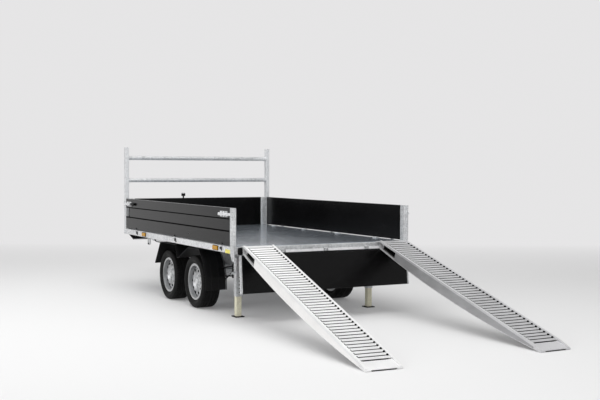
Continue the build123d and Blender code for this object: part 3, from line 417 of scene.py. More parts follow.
finishes["ramp_aluminium"] = extrusion("ramp_aluminium", ((0.62, 0.62, 0.62), (0.90, 0.90, 0.90)))
print("aluminium ready")


# %% Ribbed lenses, a reflector and hard chrome
def lens(name, low, high, ribs=240.0):
    """A ribbed lens: a wave along X and one along Z cross into small prisms."""
    f = Finish(name)
    waves = [
        f.add("TexWave", {"bands_direction": way}, {"Vector": f.place(), "Scale": ribs / (2 * pi)})
        for way in ("X", "Z")
    ]
    glow = f.noise(40.0, 2.0)
    return f.finish(
        Base_Color=f.blend((glow * 0.7 + waves[0] * 0.4 - 0.05).clipped(), low, high),
        Roughness=0.16 + glow * 0.08,
        Specular_IOR_Level=0.25,
        Normal=f.relief(waves[0] + waves[1], 0.0008, 0.5),
    )


def polished():
    """Hard chrome: nearly a mirror, with the faint marks of grinding."""
    f = Finish("ram_chrome")
    marks = f.noise(200, 2.0, (0.1, 1, 1))
    return f.finish(
        Base_Color=f.blend(marks, (0.56, 0.57, 0.58), (0.68, 0.69, 0.70)),
        Metallic=1.0,
        Roughness=0.10 + marks * 0.1,
    )


finishes["amber"] = lens("amber", (0.28, 0.115, 0.0010), (0.66, 0.34, 0.004))
finishes["lamp_red"] = lens("lamp_red", (0.30, 0.008, 0.008), (0.55, 0.02, 0.015))
finishes["reflector_yellow"] = lens("reflector_yellow", (0.72, 0.60, 0.05), (0.90, 0.82, 0.22), 400.0)
finishes["ram_chrome"] = polished()
print("bright finishes ready,", len(finishes), "in all")

# %% [markdown]
# ## The finishes go on the CAD pieces
# The record names a material slot for every node, and the finishes carry the same names.

# %% Dress the CAD nodes
slot_of = {part["node"]: part["material_slot"] for part in frame["record"]["subparts"]}
own_finish = {
    "axle_front": "axle_zinc", "axle_rear": "axle_zinc", "tailgate_fittings": "gate_zinc",
    "rack_posts": "post_zinc", "tailgate_lip": "rack_zinc", "bed_side_rails": "rail_zinc",
    "side_fittings_left": "side_zinc", "side_fittings_right": "side_zinc",
}
for name, node in nodes.items():
    node.data.materials.clear()
    node.data.materials.append(finishes[own_finish.get(name, slot_of[name])])
print("dressed", len(slot_of), "nodes")

# %% [markdown]
# ## Soft edges
# Cut and folded steel never has a perfectly sharp edge, and the thin light line along each edge is
# what makes metal look solid. A CAD mesh is loose triangles, so a copy of it is welded, its flat
# faces are joined, and a live Bevel rounds every edge that turns by more than 30 degrees. The copy
# then stands for the node.

# %% Welding and rounding a copy of a CAD node
WELD, FLAT, SHARP = 1e-6, radians(0.4), 30


def welded(name, mesh, crease, work):
    """A new object, welded and then treated by work(build); edges that turn past crease stay sharp."""
    build = bmesh.new()
    build.from_mesh(mesh)
    bmesh.ops.remove_doubles(build, verts=build.verts, dist=WELD)
    work(build)
    build.to_mesh(mesh)
    build.free()
    mesh.polygons.foreach_set("use_smooth", np.ones(len(mesh.polygons), bool))
    mesh.set_sharp_from_angle(angle=radians(crease))
    made = bpy.data.objects.new(name, mesh)
    bpy.context.scene.collection.objects.link(made)
    return made


def join_flat_faces(build):
    bmesh.ops.dissolve_limit(build, angle_limit=FLAT, verts=build.verts, edges=build.edges)


def face_outwards(build):
    bmesh.ops.recalc_face_normals(build, faces=build.faces)


def soften(name, radius, steps=2):
    """A welded copy of a CAD node, with its sharp edges rounded to a radius."""
    made = welded(name + "_soft", nodes[name].data.copy(), SHARP, join_flat_faces)
    rounding = made.modifiers.new("edge", "BEVEL")
    rounding.width, rounding.segments = radius, steps
    rounding.limit_method, rounding.angle_limit = "ANGLE", radians(SHARP)
    rounding.harden_normals = True
    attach(made, body_of[name])
    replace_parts(made, name)
    return made


# %% Which nodes are rounded, and by how much
EDGE_RADII = {
    "side_board_left": 0.003, "side_board_right": 0.003, "tailgate": 0.003, "headboard": 0.003,
    "corner_posts": 0.0018, "rack_posts": 0.004, "bed_side_rails": 0.003, "bed_end_beams": 0.003,
    "bed_crossmembers": 0.003, "bed_longitudinals": 0.003, "chassis_rails": 0.003,
    "chassis_crossmembers": 0.002, "rear_crossmember": 0.003, "drawbar_beams": 0.004,
    "ram_cradle": 0.002, "ram_bracket": 0.002, "coupling_head": 0.005, "jockey_outer": 0.002,
    "stand_sleeves": 0.0014, "stand_leg_left": 0.003, "stand_leg_right": 0.003, "pump_box": 0.004,
    "mudguard_left": 0.0018, "mudguard_right": 0.0018, "rear_lamps": 0.004, "side_markers": 0.003,
    "ramp_left": 0.0014, "ramp_right": 0.0014, "ramp_tongue_left": 0.002, "ramp_tongue_right": 0.002,
    "tailgate_lip": 0.0006, "tailgate_fittings": 0.0014, "side_fittings_left": 0.0018,
    "side_fittings_right": 0.0018, "hinge_lugs": 0.001, "corner_buffers": 0.004,
    "front_valance": 0.0014, "deck_plate": 0.001, "axle_front": 0.003, "axle_rear": 0.003,
    "rim_front_left": 0.001, "rim_front_right": 0.001, "rim_rear_left": 0.001, "rim_rear_right": 0.001,
    "jockey_fork": 0.001, "ram_barrel": 0.003,
}
softened = {name: soften(name, radius) for name, radius in EDGE_RADII.items()}
print("rounded", len(softened), "nodes")

# %% [markdown]
# ## Grid surfaces
# Every new piece is a grid of points: row i and column j are the two parameters of a surface. One
# function turns such a grid into a mesh. A leading axis holds copies of the same grid, so all wheel
# nuts are one mesh. Points that fall together, as at a pole, are welded, and the faces then turn
# outwards.

# %% From a grid of points to a piece
def surface(name, points, close_u=False, close_v=False, crease=40):
    """A mesh through a grid of points: the quad of (i, j) joins its four grid neighbours."""
    points = np.asarray(points, float)
    if points.ndim == 3:
        points = points[None]
    copies, rows, columns = points.shape[:3]
    index = np.arange(rows * columns).reshape(rows, columns)
    if close_u:
        index = np.vstack([index, index[:1]])
    if close_v:
        index = np.hstack([index, index[:, :1]])
    corners = [index[:-1, :-1], index[1:, :-1], index[1:, 1:], index[:-1, 1:]]
    quads = np.stack(corners, axis=-1).reshape(-1, 4)
    quads = (quads[None] + (np.arange(copies) * rows * columns)[:, None, None]).reshape(-1, 4)
    mesh = bpy.data.meshes.new(name)
    mesh.from_pydata(points.reshape(-1, 3).tolist(), [], quads.tolist())
    return welded(name, mesh, crease, face_outwards)


def fit(made, finish, body):
    """Gives a new piece its finish and the body it rides on."""
    made.data.materials.append(finishes[finish])
    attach(made, body)
    return made


# %% A turned shape about any axis
def beside(axis):
    """Two unit vectors square to an axis and to each other, and the axis itself."""
    axis = np.array(axis, float) / np.linalg.norm(axis)
    helper = (0, 0, 1) if abs(axis[2]) < 0.9 else (1, 0, 0)
    first = np.cross(helper, axis)
    first /= np.linalg.norm(first)
    return first, np.cross(axis, first), axis


def turned_shape(name, profile, centres, axis, turns=64, crease=40, closed=False):
    """Point (i, j) = centre + height_i along the axis + radius_i at angle j around it."""
    first, second, axis = beside(axis)
    height, radius = np.array(profile, float).T
    angle = np.linspace(0, 2 * pi, turns, endpoint=False)
    ring = np.cos(angle)[:, None] * first + np.sin(angle)[:, None] * second
    points = height[:, None, None] * axis + radius[:, None, None] * ring
    grids = np.atleast_2d(centres)[:, None, None] + points
    return surface(name, grids, close_u=closed, close_v=True, crease=crease)


# %% A bar with a given section along a flat path
def capped(rings):
    """Rings of points with the middle of the first and the last one added, which closes both ends."""
    ends = [np.repeat(ring.mean(axis=0)[None, None], len(ring), axis=1) for ring in (rings[0], rings[-1])]
    return np.concatenate([ends[0], rings, ends[1]])


def bar(name, path, section, side, crease=40):
    """Point (i, j) = path_i + a_j * normal_i + b_j * side, mitred at corners and closed at its ends."""
    path, section = np.array(path, float), np.array(section, float)
    side = np.array(side, float) / np.linalg.norm(side)
    step = np.diff(path, axis=0)
    step /= np.linalg.norm(step, axis=1)[:, None]
    both = np.vstack([step, step[-1:]]) + np.vstack([step[:1], step])
    normal = np.cross(side, both)
    normal /= np.linalg.norm(normal, axis=1)[:, None] * np.linalg.norm(both, axis=1)[:, None] / 2
    rings = path[:, None] + section[None, :, :1] * normal[:, None] + section[None, :, 1:] * side
    return surface(name, capped(rings), close_v=True, crease=crease)


def circle(radius, turns=12):
    """The section of a round bar."""
    angle = np.linspace(0, 2 * pi, turns, endpoint=False)
    return np.stack([radius * np.cos(angle), radius * np.sin(angle)], axis=1)


# %% A plate with round corners and rolled edges
SQUARE_AXES = ((1, 0, 0), (0, 1, 0), (0, 0, 1))


def plate(name, centres, size, corner, edge, axes=SQUARE_AXES, crease=50, corner_steps=5):
    """Rings of one rounded rectangle, drawn in towards the middle as they roll over the plate's edge."""
    length, width, thick = size
    along, across, out = (np.array(axis, float) for axis in axes)
    angle = (np.linspace(0, pi / 2, corner_steps)[None] + np.arange(4)[:, None] * pi / 2).ravel()
    middle_x = np.repeat([1, -1, -1, 1], corner_steps) * (length / 2 - corner)
    middle_y = np.repeat([1, 1, -1, -1], corner_steps) * (width / 2 - corner)
    roll = np.linspace(0, pi / 2, corner_steps - 1)
    inset = edge * (1 - np.sin(roll))
    height = thick / 2 - edge * (1 - np.cos(roll))
    inset, height = np.concatenate([inset, inset[::-1]]), np.concatenate([height, -height[::-1]])
    reach = (corner - inset)[:, None]
    x, y = middle_x + reach * np.cos(angle), middle_y + reach * np.sin(angle)
    rings = x[..., None] * along + y[..., None] * across + height[:, None, None] * out
    top = np.zeros((1, len(angle), 3)) + thick / 2 * out
    grid = np.concatenate([top, rings, -top])
    return surface(name, np.atleast_2d(centres)[:, None, None] + grid, close_v=True, crease=crease)


# %% Makers for pieces at trailer places
SIDES = (("left", 1), ("right", -1))
ALONG_X, ALONG_Y, ALONG_Z = SQUARE_AXES
FACING_SIDE = (ALONG_X, ALONG_Z, ALONG_Y)
FACING_END = (ALONG_Y, ALONG_Z, ALONG_X)


def disc(low, high, radius):
    """The profile of a flat round disc between two heights."""
    return [(low, 0), (low, radius), (high, radius), (high, 0)]


def turned(name, profile, places, axis, turns, finish, body, crease=40, closed=False):
    """A turned shape at trailer places, with its finish and body."""
    fit(turned_shape(name, profile, zero + np.asarray(places), axis, turns, crease, closed), finish, body)


def rod(name, path, section, finish, body, side=ALONG_Y):
    """A bar along a path of trailer places, with its finish and body."""
    fit(bar(name, zero + np.asarray(path), section, side), finish, body)


def slab(name, places, size, corner, edge, finish, body, axes=FACING_SIDE):
    """A plate at trailer places, with its finish and body; it faces its side unless told otherwise."""
    fit(plate(name, zero + np.asarray(places), size, corner, edge, axes), finish, body)


print("makers ready: surface, turned, rod, slab")

# %% [markdown]
# ## Tyres with tread
# A tyre is one profile turned about its axle. The sidewall bulges like half a sine wave, a shoulder
# rolls over into the tread, and four grooves run round the crown. The columns of the grid are spaced
# unevenly, so that a few of them fall into the notches between the tread blocks, and they lean with
# the distance from the middle, which slants the notches.

# %% The tyre's sizes, from the CAD tyre
tyre_low, tyre_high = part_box("tyre_rear_left")
TYRE_R = (tyre_high.z - tyre_low.z) / 2
TYRE_HALF = (tyre_high.y - tyre_low.y) / 2
BEAD_Y, BEAD_R, FLANGE_R = 0.0732, 0.1685, 0.1842
SHOULDER_Y, SHOULDER_R, TREAD_Y = 0.0872, 0.2530, 0.0700
GROOVES, GROOVE_HALF, GROOVE_DEPTH = (0.0165, 0.0465), 0.0045, 0.0065
BLOCKS, NOTCH_LEAN, NOTCH_DEPTH, CROWN_NOTCH = 62, 0.9, 0.0055, 0.0030
WALL_ROWS, ROUND_ROWS = 16, 4
print("tyre radius", round(TYRE_R, 4), "half width", round(TYRE_HALF, 4))


# %% Tyre profile and tread
def tyre_side():
    """Half a profile from the bead to the crown, as (y, radius, depth of notch, depth of groove)."""
    t = np.linspace(0, 1, WALL_ROWS)
    ridge = 0.0012 * np.exp(-((t - 0.14) / 0.05) ** 2) + 0.0006 * np.exp(-((t - 0.62) / 0.03) ** 2)
    bulge = (TYRE_HALF - BEAD_Y - 0.0075) * np.sin(pi * t)
    wall_y = BEAD_Y + (SHOULDER_Y - BEAD_Y) * t + bulge + ridge
    wall = np.stack([wall_y, FLANGE_R + (SHOULDER_R - FLANGE_R) * t], 1)
    notch = 0.0035 * (t > 0.88)
    roll = np.linspace(0.25, 1, ROUND_ROWS) * pi / 2
    round_y = TREAD_Y + (SHOULDER_Y - TREAD_Y) * np.cos(roll)
    round_r = SHOULDER_R + (TYRE_R - 0.0008 - SHOULDER_R) * np.sin(roll)
    marks = [TREAD_Y - 0.008]
    steps = (GROOVE_HALF, GROOVE_HALF - 0.001, 0.001 - GROOVE_HALF, -GROOVE_HALF)
    for groove in reversed(GROOVES):
        marks += [groove + step for step in steps]
    crown_y = np.array(marks + [0.006])
    crown_r = TYRE_R - 0.0008 * (crown_y / TREAD_Y) ** 2
    groove_deep = np.array([0] + [0, 1, 1, 0] * len(GROOVES) + [0]) * GROOVE_DEPTH
    inner_notch = np.where(crown_y > 0.012, CROWN_NOTCH, 0.0)
    crown_notch = np.where(crown_y > GROOVES[1], NOTCH_DEPTH, inner_notch)
    wall_rows = np.column_stack([wall, notch, 0 * t])
    round_rows = np.column_stack([round_y, round_r, 0 * roll + NOTCH_DEPTH, 0 * roll])
    crown_rows = np.column_stack([crown_y, crown_r, crown_notch, groove_deep])
    return np.concatenate([wall_rows, round_rows, crown_rows])


def tyre(name, body):
    """Radius = profile - groove - notch where the column falls in a notch, turned about the axle."""
    low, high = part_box(name)
    centre = np.array((low + high) / 2)
    half = tyre_side()
    other = half[::-1] * (-1, 1, 1, 1)
    inside = np.zeros((4, 4))
    inside[:, :2] = (0.06, 0.244), (0.075, 0.22), (BEAD_Y - 0.012, BEAD_R), (BEAD_Y, BEAD_R)
    rows = np.concatenate([half, other, inside[::-1] * (-1, 1, 1, 1), inside])
    stops = np.array([0.0, 0.34, 0.38, 0.56, 0.60, 0.80])
    in_notch = np.tile([0, 0, 1, 1, 0, 0], BLOCKS)
    angle = ((np.arange(BLOCKS)[:, None] + stops) * 2 * pi / BLOCKS).ravel()
    lean = NOTCH_LEAN * np.abs(rows[:, 0]) * (rows[:, 1] > 0.25)
    turn = angle[None] + lean[:, None]
    radius = rows[:, 1:2] - np.maximum(rows[:, 3:4], rows[:, 2:3] * in_notch[None])
    x, z = radius * np.cos(turn), radius * np.sin(turn)
    y = np.broadcast_to(rows[:, :1], x.shape)
    made = surface(name + "_tread", centre + np.stack([x, y, z], -1), close_u=True, close_v=True, crease=32)
    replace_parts(fit(made, "tyre_rubber", body), name)
    return made


WHEELS = [(axle, side) for axle in ("front", "rear") for side in ("left", "right")]
for axle, side in WHEELS:
    made = tyre(f"tyre_{axle}_{side}", f"wheel_{axle}_{side}")
print("tyres with", len(made.data.polygons), "faces each")

# %% [markdown]
# ## On each rim
# The rim's edge is rolled over, five cone nuts hold its disc, a domed cap closes the bearing, and a
# rubber valve stands in the well. The deep step behind the disc and the ten hand holes are in shadow,
# which dark discs and a dark ring show. All are turned shapes about the axle. The nuts are one mesh.

# %% Rim edge, nuts, cap, valve and shadows
NUT_CIRCLE, NUT_ACROSS, DISC_Y, HAND_HOLES, HOLE_CIRCLE = 0.056, 0.021, 0.036, 10, 0.114
EDGE_Y, EDGE_R, VALVE_R, VALVE_ANGLE = 0.0752, 0.1796, 0.140, 2.1


def round_axle(radius, count, start, y):
    """Places round the axle, with y outwards from the middle of the rim."""
    angle = np.arange(count) * 2 * pi / count + start
    return np.stack([radius * np.cos(angle), 0 * angle + y, radius * np.sin(angle)], 1)


def rim_edge(face):
    """The section of the rim's rolled edge, on its outer face (1) or its inner one (-1)."""
    roll = np.linspace(0, 2 * pi, 13)[:-1]
    return np.stack([face * EDGE_Y + 0.0026 * np.sin(roll), EDGE_R + 0.0028 * np.cos(roll)], 1)


cone = [(-0.002, 0.0), (-0.002, 0.0135), (0.003, 0.0128), (0.003, NUT_ACROSS / 2 * 1.1)]
cone += [(0.013, NUT_ACROSS / 2 * 1.1), (0.0155, 0.0085), (0.0155, 0.0)]
stud = [(0.0, 0.0), (0.0, 0.006), (0.0185, 0.006), (0.0195, 0.005), (0.0195, 0.0)]
dome = [(0.034, 0.0), (0.034, 0.0365), (0.040, 0.0360), (0.043, 0.0305), (0.060, 0.0290)]
dome += [(0.060 + 0.007 * sin(a), 0.0290 * cos(a)) for a in np.linspace(0.2, pi / 2, 7)]
valve = [(0.0, 0.0), (0.0, 0.006), (0.018, 0.005), (0.019, 0.0035), (0.034, 0.0035), (0.034, 0.0)]
step = [(0.0332, 0.1560), (0.0376, 0.1642), (0.0384, 0.1638), (0.0340, 0.1556)]
nuts, hole = round_axle(NUT_CIRCLE, 5, 0.35, DISC_Y), disc(-0.004, 0.0062, 0.0125)
at_valve = round_axle(VALVE_R, 1, VALVE_ANGLE, 0.020)
at_holes = round_axle(HOLE_CIRCLE, HAND_HOLES, 0, 0.050)
RIM_TRIM = (
    ("rim_edge_{}_0", rim_edge(-1), (0, 0, 0), 128, "wheel_silver", 40, True),
    ("rim_edge_{}_2", rim_edge(1), (0, 0, 0), 128, "wheel_silver", 40, True),
    ("wheel_nuts_{}", cone, nuts, 6, "bolt_zinc", 25, False),
    ("wheel_studs_{}", stud, nuts, 12, "bolt_zinc", 40, False),
    ("bearing_cap_{}", dome, (0, 0, 0), 48, "bolt_zinc", 40, False),
    ("valve_{}", valve, at_valve, 12, "rubber", 40, False),
    ("rim_step_{}", step, (0, 0.0004, 0), 96, "deep_shade", 40, True),
    ("hand_holes_{}", hole, at_holes, 16, "deep_shade", 40, False),
)
for axle, side in WHEELS:
    label, out = f"{axle}_{side}", dict(SIDES)[side]
    low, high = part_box(f"rim_{label}")
    centre = np.array((low + high) / 2)
    for kind, profile, places, turns, finish, crease, closed in RIM_TRIM:
        at = centre + np.array(places) * (1, out, 1)
        made = turned_shape(kind.format(label), profile, at, (0, out, 0), turns, crease, closed)
        fit(made, finish, f"wheel_{label}")
print("rim trim on", len(WHEELS), "wheels")

# %% [markdown]
# ## Mudguards
# The guards are pressed from plastic sheet whose outer edge is rolled into a bead, and two ribs run
# along the crown to stiffen it. Both follow the same line of a few points, which is the guard's own
# outline over the two wheels.

# %% Rolled edges and ribs of the mudguards
rear_x = (tyre_low.x + tyre_high.x) / 2
front_x = sum(corner.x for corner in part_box("tyre_front_left")) / 2
OVER_REAR = [(-0.388, 0.215), (-0.385, 0.340), (-0.325, 0.489), (-0.226, 0.598), (-0.205, 0.606),
             (0.067, 0.606), (0.347, 0.480)]
OVER_FRONT = [(-0.358, 0.480), (-0.319, 0.592), (-0.305, 0.606), (0.132, 0.606), (0.146, 0.598),
              (0.312, 0.365)]
guard_line = np.array([(rear_x + x, z) for x, z in OVER_REAR] + [(front_x + x, z) for x, z in OVER_FRONT])
guard_in, guard_out = (abs(corner.y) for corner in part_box("mudguard_left"))
flat = np.insert(guard_line, 1, ZERO.y, axis=1)
bead, rib = circle(0.004) + (-0.0025, 0), circle(0.008, 16) * (0.35, 1.0) + (-0.001, 0)
GUARD_BARS = (
    ("edge", guard_out - 0.004, bead), ("edge_in", guard_in + 0.004, bead),
    ("rib_a", 0.76, rib), ("rib_b", 0.835, rib),
)
for side, out in SIDES:
    for label, y, section in GUARD_BARS:
        made = bar(f"mudguard_{label}_{side}", flat + (0, out * y, 0), section, (0, -1, 0))
        fit(made, "black_plastic", "chassis")
print("mudguard line of", len(guard_line), "points")

# %% [markdown]
# ## Bolts
# Every bracket is held by hexagon bolts with washers. One call makes all bolts that point one way,
# as a single mesh of heads and a single mesh of washers.

# %% Bolt heads and washers
HEX_REACH, HEAD_TALL, WASHER_THIN = 1.12, 0.40, 0.12


def bolts(name, places, axis, across, body):
    """Hexagon heads with a chamfer on round washers, at trailer places, along an outward axis."""
    radius, tall, thin = across / 2 * HEX_REACH, across * HEAD_TALL, across * WASHER_THIN
    washer = [(-0.0005, 0), (-0.0005, radius * 1.30), (thin * 0.8, radius * 1.30)]
    washer += [(thin, radius * 1.24), (thin, 0)]
    turned(name + "_washers", washer, places, axis, 20, "bolt_zinc", body)
    head = [(thin, 0), (thin, radius), (thin + tall * 0.86, radius)]
    head += [(thin + tall, radius * 0.84), (thin + tall, 0)]
    turned(name + "_heads", head, places, axis, 6, "bolt_zinc", body, 25)


CHASSIS_SIDE_Y, SLEEVE_SIDE_Y = 0.555, 0.754
for side, out in SIDES:
    sleeve = [(0.387 + dx, out * SLEEVE_SIDE_Y, z) for dx in (-0.014, 0.014) for z in (0.455, 0.525)]
    bolts(f"sleeve_bolts_{side}", sleeve, (0, out, 0), 0.013, "chassis")
    seats = [(x + dx, out * CHASSIS_SIDE_Y, 0.452) for x in (1.283, 2.018) for dx in (-0.042, 0.042)]
    bolts(f"axle_bolts_{side}", seats, (0, out, 0), 0.019, "chassis")
    tops = [(x, out * y, 0.606) for x in (1.083, 1.798) for y in (0.705, 0.735)]
    bolts(f"guard_bolts_{side}", tops, (0, 0, 1), 0.013, "chassis")
    feet = [(3.113, out * 0.94, z) for z in (0.645, 0.670)]
    bolts(f"rack_bolts_{side}", feet, (0, out, 0), 0.017, "bed")
board_bolts = [(3.137, y, z) for y in (-0.86, -0.3, 0.3, 0.86) for z in (0.76, 0.98)]
bolts("headboard_bolts", board_bolts, (1, 0, 0), 0.013, "bed")
rear_bolts = [(0.337, y, 0.49) for y in (-0.53, -0.26, 0.26, 0.53)]
bolts("rear_cross_bolts", rear_bolts, (-1, 0, 0), 0.017, "chassis")

# %% [markdown]
# ## Ramp treads
# The rungs are extrusions with four small ridges across the walking face, which grip a tyre. One
# rung is a ridged section drawn from rail to rail. The same grid is copied up the ramp, and then all
# copies are turned by the ramp's slope and skew about its toe.

# %% Where each ramp lies
RAMP_TOE_X, RAMP_TOP_X, RAMP_TOP_Z, NOSE_R = -2.316, -0.030, 0.6943, 0.007
RAMP_Y = {"left": (0.715, 0.842), "right": (-0.737, -0.726)}
ramp_run = RAMP_TOP_X - RAMP_TOE_X
near_slope = atan2(RAMP_TOP_Z - 2 * NOSE_R, ramp_run)
toe_z = NOSE_R * (1 + cos(near_slope) - sin(near_slope))
slope = atan2(RAMP_TOP_Z - toe_z, ramp_run)
ramp_length = ramp_run / cos(slope)


def up_the_ramp(side, points):
    """Points given as (up the ramp, across it, out of its face) turned into the frame."""
    top_y, toe_y = RAMP_Y[side]
    skew = atan2(top_y - toe_y, ramp_run)
    x, y, z = np.moveaxis(np.asarray(points, float), -1, 0)
    ahead, high = x * cos(slope) - z * sin(slope), x * sin(slope) + z * cos(slope) + toe_z
    turned_x, turned_y = ahead * cos(skew) - y * sin(skew), ahead * sin(skew) + y * cos(skew)
    return zero + np.stack([turned_x + RAMP_TOE_X, turned_y + toe_y, high], -1)


print("ramp slope", round(slope * 180 / pi, 2), "degrees, length", round(ramp_length, 3))

# %% Each ramp's aluminium, with painted light on the near ramp and painted shade on the far one
def below_the_face(side):
    """A mask of painted shade: 1 under the walking face, between the upstands and the end plates, 0
    elsewhere.
    """
    origin, ahead, across, out = up_the_ramp(side, [(0, 0, 0), (1, 0, 0), (0, 1, 0), (0, 0, 1)])

    def mask(f):
        depth = f.offset_from(origin, out - origin)
        offset = abs(f.offset_from(origin, across - origin))
        reach = f.offset_from(origin, ahead - origin)
        past_top = reach.between(ramp_length - 0.033, ramp_length - 0.032)
        within = reach.between(0.134, 0.135) * (1 - past_top)
        return (1 - depth.between(0.0010, 0.0020)) * (1 - offset.between(SHADE_EDGE_Y - 0.001, SHADE_EDGE_Y)) * within

    return mask


SHADE_EDGE_Y = 0.1290
# One aluminium in two tones: the near (left) ramp is painted lighter and the far (right) ramp darker, as
# painted light and shade.
RAMP_LIT_AND_SHADED_TONES = {
    "left": ((0.70, 0.70, 0.70), (0.95, 0.95, 0.95)),
    "right": ((0.42, 0.42, 0.43), (0.72, 0.72, 0.73)),
}
# The side covers in the same way: the near ones painted light, the far ones painted shade.
SIDE_LIT_AND_SHADED_TONES = {
    "left": ((0.80, 0.79, 0.78), (0.97, 0.96, 0.95)),
    "right": ((0.20, 0.20, 0.205), (0.46, 0.46, 0.47)),
}
for side, tones in RAMP_LIT_AND_SHADED_TONES.items():
    metal = f"ramp_metal_{side}"
    finishes[metal] = extrusion(metal, tones, below_the_face(side))
    for piece in (softened[f"ramp_{side}"], softened[f"ramp_tongue_{side}"]):
        piece.data.materials[0] = finishes[metal]
    finishes[f"ramp_side_{side}"] = extrusion(f"ramp_side_{side}", SIDE_LIT_AND_SHADED_TONES[side])
print("ramp metals", sorted(RAMP_LIT_AND_SHADED_TONES))

# %% Ridged rungs
RUNG_WIDTH, RUNG_GAP, RUNG_FIRST, TOP_PLATE = 0.036, 0.014, 0.146, 0.030
UPSTAND_IN, RAMP_HALF, RIDGES, FACE = 0.1285, 0.1500, 4, 0.0038
rung_count = int((ramp_length - TOP_PLATE - RUNG_FIRST) // (RUNG_WIDTH + RUNG_GAP))
across_rung = np.linspace(0, 1, RIDGES * 8 + 1)
ridge = 0.0007 * np.clip(np.sin(across_rung * RIDGES * 2 * pi - pi / 2) * 1.6, -1, 1)
top = np.stack([across_rung * RUNG_WIDTH, FACE - 0.0007 + ridge], 1)
under = np.array([(RUNG_WIDTH, -0.0008), (0.0, -0.0008)])
section = np.concatenate([top, under])
ends = [section.mean(axis=0)[None] + 0 * section, section, section, section.mean(axis=0)[None] + 0 * section]
widths = (-UPSTAND_IN, -UPSTAND_IN, UPSTAND_IN, UPSTAND_IN)
one_rung = np.stack([np.insert(ring, 1, y, axis=1) for ring, y in zip(ends, widths)])
rung_places = RUNG_FIRST + np.arange(rung_count) * (RUNG_WIDTH + RUNG_GAP)
rungs = one_rung[None] + np.stack([rung_places, 0 * rung_places, 0 * rung_places], 1)[:, None, None]
for side in RAMP_Y:
    treads = surface(f"rung_treads_{side}", up_the_ramp(side, rungs), close_v=True, crease=28)
    fit(treads, f"ramp_metal_{side}", f"ramp_{side}")
print(rung_count, "rungs on each ramp")

# %% [markdown]
# The stringers stand a finger's width proud of the rungs, and a square slot in that edge beside each
# gap holds a dark plate of painted shade, so the slots show as a row of dark dots. Below the top end a
# flush cover closes the open channel, and above it a dark strip paints the shade inside the channel.
# Upstands, covers and the strips of shade are bars whose section changes along the ramp, so one maker takes
# the four corners of every section.

# %% A bar from rows of four corners
def box_strip(name, stations, y_pair, z_pairs, side):
    """Ring i holds the corners (x_i, y_a or y_b, z_low_i or z_high_i), closed by a point at each end."""
    x, (low, high) = np.asarray(stations, float), np.broadcast_arrays(*z_pairs, np.zeros(len(stations)))[:2]
    corners = [(y_pair[0], low), (y_pair[1], low), (y_pair[1], high), (y_pair[0], high)]
    rings = np.stack([np.stack([x, np.full(len(x), y), z], 1) for y, z in corners], 1)
    return surface(name, up_the_ramp(side, capped(rings)), close_v=True, crease=SHARP)


def under_edge(x):
    """The stringer's lower edge: a parabola through its two ends and its deepest place."""
    places = (0.007, 0.55 * ramp_length, ramp_length - 0.019)
    return np.polyval(np.polyfit(places, (-0.014, -0.096, -0.064), 2), x)


# %% Upstands, painted shade in the slots, covers and painted shade under the toe
UPSTAND, COVER_FROM, COVER_BACK, SLOT_SHADE_SIZE = 0.014, 0.095, 0.290, (0.0155, 0.0125, 0.0100)
slot_shade_places = rung_places[:-1] + RUNG_WIDTH + RUNG_GAP / 2
stations = np.linspace(0.014, ramp_length - 0.005, 24)
cover = np.linspace(COVER_FROM, ramp_length - COVER_BACK, 24)
inside = np.linspace(ramp_length - COVER_BACK, ramp_length - 0.032, 6)
rise = np.minimum(UPSTAND, 0.003 + (stations - stations[0]) * 0.12)
RAMP_STRIPS = (
    ("upstand", stations, (UPSTAND_IN + 0.0003, RAMP_HALF), (-0.002, rise), "ramp_metal_{}"),
    ("cover", cover, (0.1478, 0.1497), (under_edge(cover) + 0.002, -0.002), "ramp_side_{}"),
    ("shade", inside, (0.1095, 0.1115), (under_edge(inside) + 0.008, -0.008), "deep_shade"),
)
for side in RAMP_Y:
    body = f"ramp_{side}"
    turned_axes = up_the_ramp(side, FACING_SIDE) - up_the_ramp(side, np.zeros(3))
    for out in (-1, 1):
        label = f"{side}_{out + 1}"
        for kind, along_ramp, y_pair, depths, finish in RAMP_STRIPS:
            strip = box_strip(f"ramp_{kind}_{label}", along_ramp, out * np.array(y_pair), depths, side)
            fit(strip, finish.format(side), body)
        # Dark plates in the slots beside each gap are painted shade.
        centres = [(x, out * (UPSTAND_IN - 0.0045), 0.0062) for x in slot_shade_places]
        slots = plate(
            f"ramp_slot_shades_{label}", up_the_ramp(side, centres), SLOT_SHADE_SIZE, 0.0015, 0.0003, turned_axes,
            corner_steps=2,
        )
        fit(slots, "deep_shade", body)
    # A black strip under the front edge of the toe plate is painted shade in the gap beneath it.
    strip = box_strip(f"ramp_toe_shade_{side}", (0.0028, 0.0072), (-0.100, 0.100), (-0.0120, -0.0066), side)
    fit(strip, "black_wire", body)
print(len(slot_shade_places), "slots along each upstand")

# %% [markdown]
# Rivets fix the plates at both ends of the ramps.

# %% Rivets on the ramps
RIVET_ROWS = ((0.030, -0.001), (0.112, -0.001), (ramp_length - 0.016, 0.0))
for side in RAMP_Y:
    dots = [(x, y, z) for x, z in RIVET_ROWS for y in (-0.085, -0.03, 0.03, 0.085)]
    heads = [(-0.001, 0), (-0.001, 0.0055), (0.0006, 0.0050), (0.0016, 0.0030), (0.0019, 0)]
    normal = up_the_ramp(side, (0, 0, 1)) - up_the_ramp(side, (0, 0, 0))
    rivets = turned_shape(f"ramp_rivets_{side}", heads, up_the_ramp(side, dots), normal, 14)
    fit(rivets, f"ramp_metal_{side}", f"ramp_{side}")
print("rivets on", len(RAMP_Y), "ramps")

# %% [markdown]
# ## Ladder rack
# The rails are round tube with a swaged collar at each post, so each is one turned shape along Y.
# The open tops of the square posts are closed by plastic caps.

